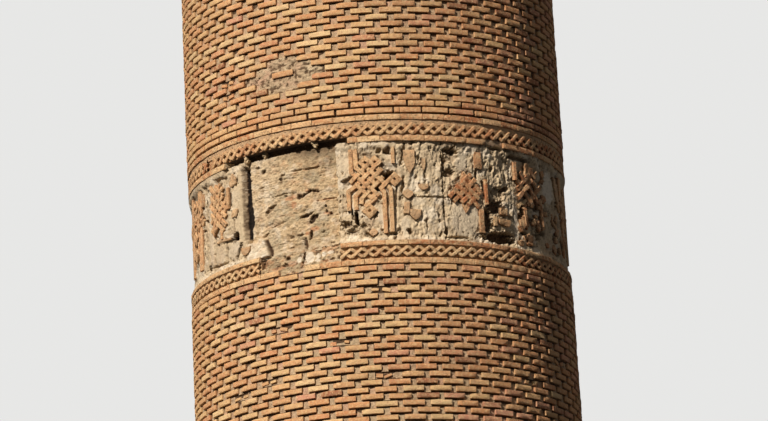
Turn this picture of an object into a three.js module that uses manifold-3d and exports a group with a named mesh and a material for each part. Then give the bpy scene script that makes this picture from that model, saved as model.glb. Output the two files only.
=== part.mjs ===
// Round brick minaret on an octagonal plinth, with a band of plaster knots between terracotta chains.
// Millimetres, +Z up, origin at ground level on the tower's axis.
// An azimuth is in degrees: 0 faces -Y, the side with the lost panel, and it grows towards +X.
import * as THREE from 'three';
import { mergeVertices } from 'three/addons/utils/BufferGeometryUtils.js';
import Module from 'manifold-3d';

const wasm = await Module();
wasm.setup();

// Shaft: the radius to the brick faces at one height, and how it shrinks going up
const referenceHeight = 15600;
const referenceRadius = 1850;
const taper = 0.00953;
const mortarDepth = 24;
const facets = 48;
const seam = 0.3;

// Heights of the main joints
const floorTop = 150;
const footTop = 300;
const plinthShoulder = 2250;
const shaftBottom = 2600;
const bandBottom = 14573;
const bandTop = 16044;
const shaftTop = 19200;
const corniceTop = 19950;
const galleryTop = 20100;
const parapetTop = 20950;
const copingTop = 21050;

// Plinth and the hollow inside, measured from the axis to a flat side
const footApothem = 2500;
const plinthApothem = 2420;
const plinthTopApothem = 2010;
const hollowApothem = 1100;

// Doorway on the +X side, with a pointed head
const doorWidth = 900;
const doorSpring = 1500;
const doorArcRadius = 720;

// Gallery and its parapet
const corniceSteps = 3;
const corniceReach = 240;
const galleryReach = 280;
const parapetThickness = 260;
const copingOverhang = 20;

// Layers of the band, measured inwards from the brick faces
const coreDepth = 120;
const plasterDepth = 35;
const chainJointDepth = 30;
const rubbleDepth = 96;

// Courses of the band
const lowerFilletTop = 14629;
const lowerChainTop = 14758;
const fieldBottom = 14805;
const fieldTop = 15785;
const upperFilletTop = 15840;
const upperChainTop = 15988;
const chainHeight = 122;
const chainEdge = 30;

// Stretches that have fallen away, as azimuths
const lostLowerChain = [-38, -10.5];
const lostUpperFillet = [-50, -8];
const rubbleRight = -12;

// Bays of the ornament: one knot in each, and one bay lost
const bayCount = 13;
const bayPitch = 360 / bayCount;
const firstKnot = -1.8;
const lostBay = bayCount - 1;
const knotShift = { 1: 2.7, 2: -0.6, 11: 3.2 };

// Knot: flat straps that stand proud of the plaster
const knotHeight = 15410;
const strapWidth = 32;
const strapRelief = 20;
const strapRoot = 30;
const latticeStraps = 4;
const latticePitch = 64;
const eyeSize = 52;

const brick = { color: 0xb98a55, roughness: 0.95, metalness: 0 };
const terracotta = { color: 0xc07a48, roughness: 0.9, metalness: 0 };
const plaster = { color: 0xd9c9a6, roughness: 0.97, metalness: 0 };
const rubble = { color: 0x9c8666, roughness: 1, metalness: 0 };
const stone = { color: 0xa89c88, roughness: 0.9, metalness: 0 };

const rad = THREE.MathUtils.degToRad;
const minaret = new THREE.Group();

function faceRadius(z) {
  return referenceRadius - taper * (z - referenceHeight);
}

// Direction of an azimuth in plan
function heading(azimuth) {
  return new THREE.Vector2(Math.sin(rad(azimuth)), -Math.cos(rad(azimuth)));
}

function toSolid(geometry) {
  const plain = geometry.index ? geometry.toNonIndexed() : geometry.clone();
  plain.deleteAttribute('normal');
  plain.deleteAttribute('uv');
  const merged = mergeVertices(plain, 1e-3);
  return new wasm.Manifold(new wasm.Mesh({
    numProp: 3,
    vertProperties: new Float32Array(merged.attributes.position.array),
    triVerts: new Uint32Array(merged.index.array),
  }));
}

function addPiece(name, solid, finish) {
  const mesh = solid.getMesh();
  const geometry = new THREE.BufferGeometry();
  geometry.setAttribute('position', new THREE.BufferAttribute(new Float32Array(mesh.vertProperties), 3));
  geometry.setIndex(new THREE.BufferAttribute(new Uint32Array(mesh.triVerts), 1));
  geometry.computeVertexNormals();
  const piece = new THREE.Mesh(geometry, new THREE.MeshStandardMaterial(finish));
  piece.name = name;
  minaret.add(piece);
}

// Closed profile of [radius, height] points turned about the tower's axis
function turned(profile, sides = facets, firstCorner = 0) {
  const points = [...profile, profile[0]].map(([r, z]) => new THREE.Vector2(r, z));
  const geometry = new THREE.LatheGeometry(points, sides, rad(firstCorner));
  geometry.rotateX(Math.PI / 2);
  return toSolid(geometry);
}

function band(inner, outer, bottom, top) {
  return turned([[inner, bottom], [outer, bottom], [outer, top], [inner, top]]);
}

// Octagonal ring with flat sides facing azimuths 0, 45, 90 and so on
function octagon(profile) {
  const corner = 1 / Math.cos(rad(22.5));
  return turned(profile.map(([apothem, z]) => [apothem * corner, z]), 8, 22.5);
}

function outlined(points, bottom, top) {
  const shape = new THREE.Shape(points);
  const geometry = new THREE.ExtrudeGeometry(shape, { depth: top - bottom, bevelEnabled: false });
  geometry.translate(0, 0, bottom);
  return toSolid(geometry);
}

function octagonPrism(apothem, bottom, top) {
  const corner = apothem / Math.cos(rad(22.5));
  const points = [];
  for (let i = 0; i < 8; i += 1) {
    points.push(heading(22.5 + 45 * i).multiplyScalar(corner));
  }
  return outlined(points, bottom, top);
}

// Slice of the tower between two azimuths, narrowed by a trim on each cut side
function slice(from, to, trim) {
  const reach = 4000;
  const half = (to - from) / 2;
  const apex = heading(from + half).multiplyScalar(trim / Math.sin(rad(half)));
  const steps = Math.ceil(half / 20) * 2;
  const points = [apex];
  for (let i = 0; i <= steps; i += 1) {
    points.push(heading(from + (to - from) * i / steps).multiplyScalar(reach).add(apex));
  }
  return outlined(points, -10, copingTop + 10);
}

function box(size, centre) {
  const geometry = new THREE.BoxGeometry(...size);
  geometry.translate(...centre);
  return toSolid(geometry);
}

// Octagonal base of eight walls, one of them with the doorway
function addPlinth() {
  const inner = hollowApothem;
  const walls = octagon([
    [inner, 0], [footApothem, 0], [footApothem, footTop], [plinthApothem, footTop],
    [plinthApothem, plinthShoulder], [plinthTopApothem, shaftBottom], [inner, shaftBottom],
  ]);
  const sides = ['front', 'front_right', 'right', 'back_right', 'back', 'back_left', 'left', 'front_left'];
  sides.forEach((side, i) => {
    const wall = walls.intersect(slice(45 * i - 22.5, 45 * i + 22.5, seam / 2));
    if (side === 'right') {
      addDoorway(wall);
    } else {
      addPiece(`plinth_wall_${side}`, wall, brick);
    }
  });
}

function doorHead() {
  const half = doorWidth / 2;
  const offset = doorArcRadius - half;
  const apexAngle = Math.acos(offset / doorArcRadius);
  const shape = new THREE.Shape();
  shape.moveTo(-half, -10);
  shape.lineTo(half, -10);
  shape.lineTo(half, 0);
  shape.absarc(-offset, 0, doorArcRadius, 0, apexAngle, false);
  shape.absarc(offset, 0, doorArcRadius, Math.PI - apexAngle, Math.PI, false);
  const geometry = new THREE.ExtrudeGeometry(shape, { depth: 3000, bevelEnabled: false, curveSegments: 6 });
  geometry.rotateX(Math.PI / 2);
  geometry.rotateZ(Math.PI / 2);
  geometry.translate(0, 0, doorSpring);
  return toSolid(geometry);
}

function addDoorway(wall) {
  const reach = 3000;
  const half = doorWidth / 2;
  const jambFront = box([reach, reach, doorSpring], [reach / 2, -half - reach / 2, doorSpring / 2]);
  const jambBack = box([reach, reach, doorSpring], [reach / 2, half + reach / 2, doorSpring / 2]);
  const above = box([reach, 2 * reach, reach], [reach / 2, 0, doorSpring + reach / 2]);
  addPiece('doorway_jamb_front', wall.intersect(jambFront), brick);
  addPiece('doorway_jamb_back', wall.intersect(jambBack), brick);
  addPiece('doorway_arch', wall.intersect(above).subtract(doorHead()), brick);
  const depth = footApothem - hollowApothem;
  const sill = box([depth, doorWidth - 2 * seam, floorTop], [hollowApothem + depth / 2, 0, floorTop / 2]);
  addPiece('doorway_threshold', sill, stone);
  addPiece('floor_slab', octagonPrism(hollowApothem - seam, 0, floorTop), stone);
}

// Round wall in four quarters around the octagonal stairwell
function addShaft(name, profile) {
  const bottom = profile[0][1];
  const top = profile[profile.length - 1][1];
  const hollow = octagonPrism(hollowApothem, bottom - 10, top + 10);
  const wall = turned(profile).subtract(hollow);
  for (let i = 0; i < 4; i += 1) {
    const quarter = wall.intersect(slice(90 * i - 22.5, 90 * i + 67.5, seam / 2));
    addPiece(`${name}_quarter_${i + 1}`, quarter, brick);
  }
}

function addShafts() {
  const inner = hollowApothem / 2;
  const core = referenceRadius - coreDepth;
  const bed = (z) => faceRadius(z) - mortarDepth;
  addShaft('lower_shaft', [
    [inner, shaftBottom], [bed(shaftBottom), shaftBottom], [bed(bandBottom), bandBottom], [inner, bandBottom],
  ]);
  addShaft('upper_shaft', [
    [inner, bandBottom], [core, bandBottom], [core, bandTop], [bed(bandTop), bandTop],
    [bed(shaftTop), shaftTop], [inner, shaftTop],
  ]);
}

// Ring of the band, from just outside the core to a depth behind the brick faces
function bandRing(bottom, top, depth) {
  const inner = referenceRadius - coreDepth + seam;
  return turned([
    [inner, bottom], [faceRadius(bottom) - depth, bottom], [faceRadius(top) - depth, top], [inner, top],
  ]);
}

// Two twisted strands read as one rounded bead on a backing
function chainRing(bottom, top) {
  const inner = referenceRadius - coreDepth + seam;
  const face = faceRadius(bottom);
  const back = face - chainJointDepth;
  const edge = bottom + chainHeight;
  return turned([
    [inner, bottom], [back, bottom], [face, bottom + chainEdge], [face, edge - chainEdge],
    [back, edge], [back, top], [inner, top],
  ]);
}

function addBandCourses() {
  const lostChain = slice(...lostLowerChain, 0);
  const lostFillet = slice(...lostUpperFillet, 0);
  const lowerChain = chainRing(lowerFilletTop, lowerChainTop);
  const lowerTop = bandRing(lowerChainTop, fieldBottom, 2);
  const upperBottom = bandRing(fieldTop, upperFilletTop, 2);
  addPiece('lower_band_bottom_fillet', bandRing(bandBottom, lowerFilletTop, 2), terracotta);
  addPiece('lower_band_chain', lowerChain.subtract(lostChain), terracotta);
  addPiece('lower_band_top_fillet', lowerTop.subtract(lostChain), terracotta);
  addPiece('upper_band_bottom_fillet', upperBottom.subtract(lostFillet), terracotta);
  addPiece('upper_band_chain', chainRing(upperFilletTop, upperChainTop), terracotta);
  addPiece('upper_band_top_fillet', bandRing(upperChainTop, bandTop, 2), terracotta);
}

// Flat outline with holes, standing proud of the plaster. Its plane touches the wall at a distance u
// from the knot's centre. In it u runs to the right and v runs up.
function relief(outline, holes, centre, u) {
  const toPoints = (list) => list.map(([x, y]) => new THREE.Vector2(x - u, y));
  const shape = new THREE.Shape(toPoints(outline));
  shape.holes = holes.map((hole) => new THREE.Path(toPoints(hole)));
  const depth = strapRoot + strapRelief;
  const geometry = new THREE.ExtrudeGeometry(shape, { depth, bevelEnabled: false });
  const radius = faceRadius(knotHeight) - plasterDepth;
  geometry.rotateX(Math.PI / 2);
  geometry.translate(0, strapRoot - radius, knotHeight);
  geometry.rotateZ(rad(centre) + u / radius);
  return toSolid(geometry);
}

// Square standing on its corner
function diamond(u, v, half) {
  return [[u, v - half], [u + half, v], [u, v + half], [u - half, v]];
}

// Plait of straps crossing at right angles, seen as a diamond with a grid of eyelets
function lattice(centre) {
  const diagonal = Math.SQRT2;
  const half = (latticePitch * (latticeStraps - 1) + strapWidth) / diagonal;
  const eyelet = (latticePitch - strapWidth) / diagonal;
  const step = latticePitch / diagonal;
  const holes = [];
  for (let i = 0; i < latticeStraps - 1; i += 1) {
    for (let j = 0; j < latticeStraps - 1; j += 1) {
      holes.push(diamond((i - j) * step, (i + j + 2 - latticeStraps) * step, eyelet));
    }
  }
  return relief(diamond(0, 0, half), holes, centre, 0);
}

function eye(centre, u, v) {
  return relief(diamond(u, v, eyeSize), [diamond(u, v, eyeSize - strapWidth)], centre, u);
}

// Two upright straps side by side, joined by a bar at the bent end
function pair(centre, left, right, open, bend) {
  const half = strapWidth / 2;
  const inside = bend + (open > bend ? strapWidth : -strapWidth);
  const outline = [
    [left - half, open], [left + half, open], [left + half, inside], [right - half, inside],
    [right - half, open], [right + half, open], [right + half, bend], [left - half, bend],
  ];
  return relief(outline, [], centre, (left + right) / 2);
}

function knot(centre) {
  const top = fieldTop - knotHeight - strapWidth;
  const bottom = fieldBottom - knotHeight + strapWidth;
  return [
    lattice(centre),
    eye(centre, -18, -300),
    eye(centre, 205, -26),
    pair(centre, -190, -135, top, 120),
    pair(centre, 130, 196, bottom, -110),
    pair(centre, -211, -146, -350, -80),
  ];
}

function addField() {
  const field = bandRing(fieldBottom, fieldTop, plasterDepth);
  for (let i = 0; i < bayCount; i += 1) {
    const middle = firstKnot + bayPitch * i;
    if (i === lostBay) {
      continue;
    }
    const left = i === 0 ? rubbleRight : middle - bayPitch / 2;
    let panel = field.intersect(slice(left, middle + bayPitch / 2, seam / 2));
    for (const piece of knot(middle + (knotShift[i] ?? 0))) {
      panel = panel.add(piece);
    }
    addPiece(`knot_panel_${String(i + 1).padStart(2, '0')}`, panel, plaster);
  }
  const lostLeft = firstKnot - bayPitch * 1.5;
  const bare = bandRing(fieldBottom, fieldTop, rubbleDepth);
  addPiece('bare_core_patch', bare.intersect(slice(lostLeft, rubbleRight, seam / 2)), rubble);
}

// Stepped cornice, the gallery floor with its stair opening, and the parapet
function addTop() {
  const inner = hollowApothem / 2;
  const wall = faceRadius(shaftTop);
  const rise = (corniceTop - shaftTop) / corniceSteps;
  const profile = [[inner, shaftTop]];
  for (let i = 0; i < corniceSteps; i += 1) {
    const reach = wall + corniceReach * (i + 1) / corniceSteps;
    profile.push([reach, shaftTop + rise * i], [reach, shaftTop + rise * (i + 1)]);
  }
  profile.push([inner, corniceTop]);
  const stairwell = octagonPrism(hollowApothem, shaftTop - 10, galleryTop + 10);
  addPiece('cornice', turned(profile).subtract(stairwell), brick);
  const edge = wall + galleryReach;
  addPiece('gallery_floor', band(inner, edge, corniceTop, galleryTop).subtract(stairwell), stone);
  const outer = edge - copingOverhang;
  addPiece('parapet', band(outer - parapetThickness, outer, galleryTop, parapetTop), brick);
  const copingInner = outer - parapetThickness - copingOverhang;
  addPiece('parapet_coping', band(copingInner, edge, parapetTop, copingTop), stone);
}

addPlinth();
addShafts();
addBandCourses();
addField();
addTop();

export default minaret;
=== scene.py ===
import math
import random

import bmesh
import bpy
import numpy as np
from mathutils import Matrix, Vector


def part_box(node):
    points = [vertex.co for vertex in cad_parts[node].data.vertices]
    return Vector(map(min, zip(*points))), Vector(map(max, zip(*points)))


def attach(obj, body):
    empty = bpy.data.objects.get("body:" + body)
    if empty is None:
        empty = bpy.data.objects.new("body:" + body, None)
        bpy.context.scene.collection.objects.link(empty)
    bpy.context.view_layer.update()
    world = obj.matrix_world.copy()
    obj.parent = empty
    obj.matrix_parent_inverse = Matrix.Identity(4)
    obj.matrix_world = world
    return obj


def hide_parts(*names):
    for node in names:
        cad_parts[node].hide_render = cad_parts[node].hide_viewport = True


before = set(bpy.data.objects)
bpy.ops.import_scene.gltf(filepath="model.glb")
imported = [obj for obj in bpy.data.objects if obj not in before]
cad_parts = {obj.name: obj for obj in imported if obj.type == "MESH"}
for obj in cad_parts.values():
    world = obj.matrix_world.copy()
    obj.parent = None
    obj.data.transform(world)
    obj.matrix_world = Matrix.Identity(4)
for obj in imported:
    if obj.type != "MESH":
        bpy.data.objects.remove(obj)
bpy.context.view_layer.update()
scene = bpy.context.scene
random.seed(7)
dice = np.random.default_rng(7)

# An azimuth is 0 towards the camera (-Y) and grows towards +X. Heights named "h" are in radii from the middle.
tower = {
    "radius": 1.85,        # to the brick faces, at middle
    "middle": 15.6,
    "taper": 0.00953,
    "plasterDepth": 0.035,
    "nearBottom": 13.0,    # fully modelled bricks from here
    "nearTop": 18.0,
    "nearSide": 95,        # and this far round, in degrees
}
field = {"bottom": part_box("bare_core_patch")[0].z, "top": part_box("bare_core_patch")[1].z}


def faceRadius(z):
    return tower["radius"] - tower["taper"] * (z - tower["middle"])


def atHeight(h):
    return tower["middle"] + h * tower["radius"]


def ontoWall(azimuth, z, depth):
    radius = faceRadius(z) - depth
    return np.stack([radius * np.sin(azimuth), -radius * np.cos(azimuth), z], -1)


# smooth random relief, the same each run
def noiseTable(seed):
    return np.random.default_rng(seed).random((128, 128))


def softNoise(x, y, table):
    # between the values of a square table that repeats
    column, row = np.floor(x).astype(int), np.floor(y).astype(int)
    u, v = x - column, y - row
    u, v = u * u * (3 - 2 * u), v * v * (3 - 2 * v)
    left, right, low, high = (k % len(table) for k in (column, column + 1, row, row + 1))
    return ((table[left, low] * (1 - u) + table[right, low] * u) * (1 - v)
            + (table[left, high] * (1 - u) + table[right, high] * u) * v)


def relief(x, y, seed, octaves=4, keep=0.5):
    total, weight, amount = 0, 0, 1
    for octave in range(octaves):
        total = total + amount * softNoise(x * 2 ** octave, y * 2 ** octave, noiseTable(seed + octave))
        weight += amount
        amount *= keep
    return total / weight * 2 - 1


def fade(low, high, value):
    # 0 below low, 1 above high, and the other way round where low is the greater
    t = np.clip((value - low) / (high - low), 0, 1)
    return t * t * (3 - 2 * t)


def between(low, high, top, end, value):
    # rises from low to high and falls again from top to end
    return fade(low, high, value) * fade(end, top, value)


def onWall(azimuth, z):
    # metres across and up from the middle, h, degrees, and noise by the width and height of its grain
    u, v = azimuth * tower["radius"], z - tower["middle"]

    def grain(wide, tall, seed, octaves=4, keep=0.5):
        return relief(u / wide, v / tall, seed, octaves, keep)

    return u, v, v / tower["radius"], np.degrees(azimuth), grain


def around(turn):
    # an azimuth, brought to within half a turn
    return (turn + math.pi) % math.tau - math.pi


# materials

class Wire:
    # a socket's output, so that shader sums read as sums
    def __init__(self, graph, socket):
        self.graph = graph
        self.socket = socket

    def sum(self, operation, first, second):
        return self.graph.node("ShaderNodeMath", {0: first, 1: second}, operation=operation)

    def __add__(self, other):
        return self.sum("ADD", self, other)

    def __sub__(self, other):
        return self.sum("SUBTRACT", self, other)

    def __rsub__(self, other):
        return self.sum("SUBTRACT", other, self)

    def __mul__(self, other):
        return self.sum("MULTIPLY", self, other)

    __radd__ = __add__
    __rmul__ = __mul__


class Graph:
    def __init__(self, tree):
        self.tree = tree

    def link(self, wire, socket):
        self.tree.links.new(wire.socket, socket)

    def node(self, kind, inputs=None, output=0, **settings):
        made = self.tree.nodes.new(kind)
        for key, value in settings.items():
            setattr(made, key, value)
        for key, value in (inputs or {}).items():
            if isinstance(value, Wire):
                self.link(value, made.inputs[key])
            else:
                made.inputs[key].default_value = value
        return Wire(self, made.outputs[output])


class Finish(Graph):
    def __init__(self, name, roughness):
        self.material = bpy.data.materials.new(name)
        self.material.use_nodes = True
        super().__init__(self.material.node_tree)
        self.shader = self.tree.nodes["Principled BSDF"]
        self.shader.inputs["Roughness"].default_value = roughness
        self.shader.inputs["Specular IOR Level"].default_value = 0.25
        self.place = self.node("ShaderNodeTexCoord", output="Object")

    def ramp(self, value, stops):
        made = self.node("ShaderNodeValToRGB", {"Fac": value})
        elements = made.socket.node.color_ramp.elements
        while len(elements) < len(stops):
            elements.new(0.5)
        for element, (name, position) in zip(elements, stops.items()):
            element.position = position
            element.color = colours[name]
        return made

    def step(self, value, low, high):
        return self.node("ShaderNodeMapRange", {"Value": value, "From Min": low, "From Max": high},
                         interpolation_type="SMOOTHSTEP")

    def speckle(self, scale, detail=3, rough=0.6, stretch=(1, 1, 1)):
        place = self.node("ShaderNodeMapping", {"Vector": self.place, "Scale": stretch})
        return self.node("ShaderNodeTexNoise", {"Vector": place, "Scale": scale, "Detail": detail, "Roughness": rough})

    def tiles(self, place, first, second, mortar, joint, wide, tall):
        return self.node("ShaderNodeTexBrick", {
            "Vector": place, "Color1": first, "Color2": second, "Mortar": colours[mortar], "Scale": 1,
            "Mortar Size": joint, "Mortar Smooth": 0.3, "Bias": 0, "Brick Width": wide, "Row Height": tall})

    def axes(self):
        return [self.node("ShaderNodeSeparateXYZ", {0: self.place}, k) for k in range(3)]

    def attribute(self, name):
        return self.node("ShaderNodeAttribute", output="Fac", attribute_name=name)

    def blend(self, amount, first, second, mode="MIX"):
        return self.node("ShaderNodeMix", {0: amount, 6: first, 7: second}, 2, data_type="RGBA", blend_type=mode)

    def mottle(self, low, high, *noise):
        return self.step(self.speckle(*noise), low, high)

    def pores(self, scale, low, high):
        return self.step(self.node("ShaderNodeTexVoronoi", {"Vector": self.place, "Scale": scale}), low, high)

    # layers of colour over the body

    def base(self, first, second, low, high, *noise):
        self.body = self.blend(self.mottle(low, high, *noise), colours[first], colours[second])

    def coat(self, colour, mask, amount=1):
        self.body = self.blend(mask if amount == 1 else mask * amount, self.body, colours[colour])

    def marked(self, colour, name, amount=1):
        self.coat(colour, self.attribute(name), amount)

    def flecks(self, colour, amount, low, high, *noise):
        self.coat(colour, self.mottle(low, high, *noise), amount)

    def finished(self, height, distance):
        bump = self.node("ShaderNodeBump", {"Height": height, "Distance": distance, "Strength": 1})
        self.link(self.body, self.shader.inputs["Base Color"])
        self.link(bump, self.shader.inputs["Normal"])
        return self.material


def tint(red, green, blue):
    # from the 0 to 255 that a paint picker shows
    return tuple(((c / 255 + 0.055) / 1.055) ** 2.4 if c > 10 else c / 3294.6 for c in (red, green, blue)) + (1,)


colours = {name: tint(*shade) for name, shade in {
    "paleBrick": (233, 200, 147), "strawBrick": (222, 182, 126), "tanBrick": (214, 164, 112),
    "orangeBrick": (210, 148, 98), "pinkBrick": (210, 150, 118), "darkBrick": (160, 104, 70), "mortar": (206, 178, 146),
    "deepMortar": (150, 124, 98), "bedMortar": (95, 74, 53), "bedShade": (66, 50, 36), "jointMortar": (208, 180, 144),
    "jointShade": (150, 124, 94), "jointPink": (208, 162, 132), "jointGreen": (184, 166, 130),
    "creamPlaster": (226, 204, 166), "greyPlaster": (186, 164, 131), "warmPlaster": (212, 181, 146),
    "whitePlaster": (240, 226, 200), "strapDust": (206, 172, 132), "core": (224, 197, 154),
    # the soot colour is also painted shade in hollows, crevices and under the rings, and black is painted shadow in the
    # deepest of them
    "coreShade": (182, 155, 117), "coreGrey": (178, 164, 132), "soot": (88, 66, 46), "black": (26, 19, 13),
    "terracotta": (221, 171, 120), "terracottaPale": (238, 202, 150), "terracottaRed": (192, 124, 80),
    "stone": (176, 162, 138), "stoneShade": (138, 124, 104), "floor": (214, 210, 202),
}.items()}


def brickFinish():
    made = Finish("weathered fired brick", 0.92)
    made.body = made.ramp(made.attribute("tone"), {"paleBrick": 0, "strawBrick": 0.22, "tanBrick": 0.45,
                                                   "orangeBrick": 0.68, "pinkBrick": 0.86, "darkBrick": 1})
    made.flecks("paleBrick", 0.6, 0.44, 0.62, 34, 5, 0.75)
    made.flecks("pinkBrick", 0.6, 0.5, 0.66, 48, 4, 0.75)
    made.flecks("darkBrick", 0.55, 0.52, 0.68, 26, 6, 0.8)
    made.flecks("mortar", 0.45, 0.6, 0.72, 17, 5, 0.75, (1, 1, 1.6))
    holes = made.pores(150, 0.05, 0.3)
    made.coat("soot", 1 - holes, 0.35)
    made.flecks("deepMortar", 0.22, 0.42, 0.75, 1.3, 3, 0.6, (1, 1, 0.5))
    # painted shade on the sides and undersides of the bricks, darker with depth
    made.marked("bedShade", "deep", 0.85)
    return made.finished(made.speckle(190, 4, 0.7) * 0.5 + holes * 0.4 + made.speckle(55, 4, 0.7) * 1.4, 0.0055)


def coursed(made, across, up):
    # plain courses, for the walls that are seen only through the doorway or from the gallery
    pattern = made.tiles(made.node("ShaderNodeCombineXYZ", {"X": across, "Y": up}), colours["strawBrick"],
                         colours["orangeBrick"], "deepMortar", 0.008, 0.24, 0.067)
    return made.blend(made.mottle(0.45, 0.75, 8, 5, 0.7) * 0.5, pattern, colours["darkBrick"])


def mortarFinish():
    made = Finish("lime mortar bed", 0.96)
    # painted shade: the bed mortar is painted much darker than mortar, for the shade deep in the joints and in the slot
    # behind the lost fillet
    made.base("bedMortar", "bedShade", 0.35, 0.7, 14, 5, 0.7)
    made.flecks("mortar", 0.5, 0.58, 0.75, 60, 3)
    made.coat("soot", made.pores(90, 0.35, 0.08), 0.35)
    x, y, z = made.axes()
    # mortar on the ledge at the foot of the shaft, painted lighter as painted light on its top, which faces up to the
    # light
    made.coat("jointShade", made.step(z, 2.585, 2.595) * made.step(z, 2.612, 2.604), 0.8)
    inside = made.step(x * x + y * y, 1.75, 1.65)
    made.body = made.blend(inside, made.body, coursed(made, x.sum("ARCTAN2", x, y) * 1.15, z))
    return made.finished(made.speckle(120, 5, 0.75) + made.speckle(30, 3) * 1.4, 0.006)


def jointFinish():
    # the paler mortar in the upright joints and where bricks have fallen
    made = Finish("weathered joint mortar", 0.96)
    made.base("jointShade", "jointMortar", 0.32, 0.68, 34, 5, 0.75)
    made.flecks("jointPink", 0.6, 0.5, 0.66, 8, 4, 0.6)
    made.flecks("jointGreen", 0.45, 0.5, 0.6, 1.1, 3, 0.6)
    made.marked("creamPlaster", "pale", 0.7)
    # painted shade: darker in the pits where bricks have fallen and under the fillets
    made.marked("soot", "hollow")
    made.coat("soot", made.pores(85, 0.3, 0.08), 0.5)
    return made.finished(made.speckle(110, 5, 0.75) + made.speckle(34, 4) * 1.6, 0.009)


def plasterFinish():
    made = Finish("weathered lime plaster", 0.96)
    made.base("creamPlaster", "greyPlaster", 0.35, 0.7, 7, 5, 0.7)
    made.flecks("warmPlaster", 0.6, 0.5, 0.75, 5, 4, 0.6, (1, 1, 0.4))
    made.marked("whitePlaster", "pale")
    # painted shade: darker in hollows and pockets, and black in the deepest crevice
    made.marked("soot", "hollow")
    made.coat("black", made.step(made.attribute("hollow"), 1.0, 1.4))
    made.coat("soot", made.pores(70, 0.28, 0.06), 0.5)
    made.flecks("soot", 0.55, 0.57, 0.66, 42, 6, 0.8, (1, 1, 0.55))
    return made.finished(made.speckle(150, 5, 0.75) + made.speckle(38, 4) * 1.6, 0.006)


def rubbleFinish():
    made = Finish("mortar-daubed core", 0.97)
    made.base("coreShade", "core", 0.36, 0.66, 24, 5, 0.75)
    made.flecks("coreGrey", 0.7, 0.48, 0.66, 5, 4, 0.6)
    made.marked("terracottaRed", "red", 0.85)
    made.marked("whitePlaster", "pale")
    made.flecks("soot", 0.5, 0.56, 0.66, 38, 6, 0.8)
    # painted shade: darker in hollows, marks and under the chain, and black in the crevice
    made.marked("soot", "hollow")
    made.coat("black", made.step(made.attribute("hollow"), 1.0, 1.4))
    return made.finished(made.speckle(130, 5, 0.75) + made.speckle(34, 4, 0.6, (1, 1, 2)) * 1.8, 0.007)


def terracottaFinish():
    made = Finish("weathered terracotta", 0.9)
    made.body = made.ramp(made.attribute("tone"), {"terracottaPale": 0, "terracotta": 0.5, "terracottaRed": 1})
    made.flecks("terracottaPale", 0.8, 0.46, 0.58, 22, 4, 0.7)
    made.flecks("darkBrick", 0.55, 0.53, 0.68, 11, 5, 0.75)
    made.flecks("orangeBrick", 0.45, 0.5, 0.62, 36, 5, 0.75)
    made.flecks("strapDust", 0.5, 0.5, 0.66, 40, 5, 0.75)
    made.coat("strapDust", made.attribute("dust") * made.mottle(0.3, 0.55, 26, 5, 0.7))
    made.flecks("soot", 0.6, 0.52, 0.62, 30, 5, 0.8)
    # painted shade on the sides of tiles, strands and straps, and under the rings, darker with depth
    made.marked("bedShade", "deep", 0.85)
    return made.finished(made.speckle(200, 4, 0.7) * 0.6 + made.speckle(52, 4, 0.7) * 2.2, 0.0065)


def revealFinish():
    # the doorway's sides and soffit, and mortar on the outer face
    made = Finish("doorway brickwork", 0.94)
    # painted shade: the mortar on the outer face has the bed's dark colour
    made.base("bedMortar", "bedShade", 0.35, 0.7, 14, 5, 0.7)
    x, _, z = made.axes()
    made.body = made.blend(made.step(x, 2.405, 2.412), coursed(made, x, z), made.body)
    return made.finished(made.speckle(120, 4, 0.7), 0.004)


def stoneFinish(name, paved):
    made = Finish(name, 0.88)
    made.base("stone", "stoneShade", 0.35, 0.7, 6, 5, 0.7)
    made.marked("greyPlaster", "tone", 0.5)
    made.coat("soot", made.pores(60, 0.25, 0.05), 0.4)
    if paved:
        # square slabs with narrow joints
        slabs = made.tiles(made.place, tint(255, 255, 255), tint(206, 200, 190), "soot", 0.006, 0.34, 0.34)
        made.body = made.blend(0.8, made.body, slabs, "MULTIPLY")
    return made.finished(made.speckle(90, 5, 0.7) + made.speckle(20, 3), 0.005)


finishes = {
    "brick": brickFinish(), "mortar": mortarFinish(), "joint": jointFinish(), "plaster": plasterFinish(),
    "rubble": rubbleFinish(), "terracotta": terracottaFinish(), "reveal": revealFinish(),
    "stone": stoneFinish("worn stone", False), "paving": stoneFinish("stone paving", True),
}
print("finishes mixed")


# pieces and the forms that are laid many times

def addPiece(name, mesh, finish, *nodes, slotName=None, sharp=38):
    slotName = slotName or finish
    mesh.name = name
    mesh.shade_smooth()
    mesh.set_sharp_from_angle(angle=math.radians(sharp))
    mesh.materials.append(finishes[finish])
    piece = bpy.data.objects.new(name, mesh)
    scene.collection.objects.link(piece)
    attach(piece, "root")
    if nodes:
        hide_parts(*nodes)


def readPoints(mesh):
    points = np.empty(len(mesh.vertices) * 3)
    mesh.vertices.foreach_get("co", points)
    return points.reshape(-1, 3)


def writeMesh(bm):
    mesh = bpy.data.meshes.new("made")
    bm.to_mesh(mesh)
    bm.free()
    return mesh


def mark(mesh, **values):
    # values at the points, for the finishes
    for key, value in values.items():
        data = mesh.attributes.new(key, "FLOAT", "POINT").data
        data.foreach_set("value", np.broadcast_to(value, len(data)).copy())


def newVerts(made):
    return [item for item in made["geom"] if isinstance(item, bmesh.types.BMVert)]


def ease(bm, edges, offset, segments=1):
    bmesh.ops.bevel(bm, geom=edges, offset=offset, offset_type="OFFSET", affect="EDGES", segments=segments,
                    profile=0.5, material=-1)


def takeForm(bm):
    # the mesh of a form as arrays, ready to be repeated
    bmesh.ops.recalc_face_normals(bm, faces=bm.faces)
    mesh = writeMesh(bm)
    corners = np.empty(len(mesh.loops), int)
    mesh.loops.foreach_get("vertex_index", corners)
    starts = np.empty(len(mesh.polygons), int)
    mesh.polygons.foreach_get("loop_start", starts)
    form = (readPoints(mesh), corners, starts)
    bpy.data.meshes.remove(mesh)
    return form


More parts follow.
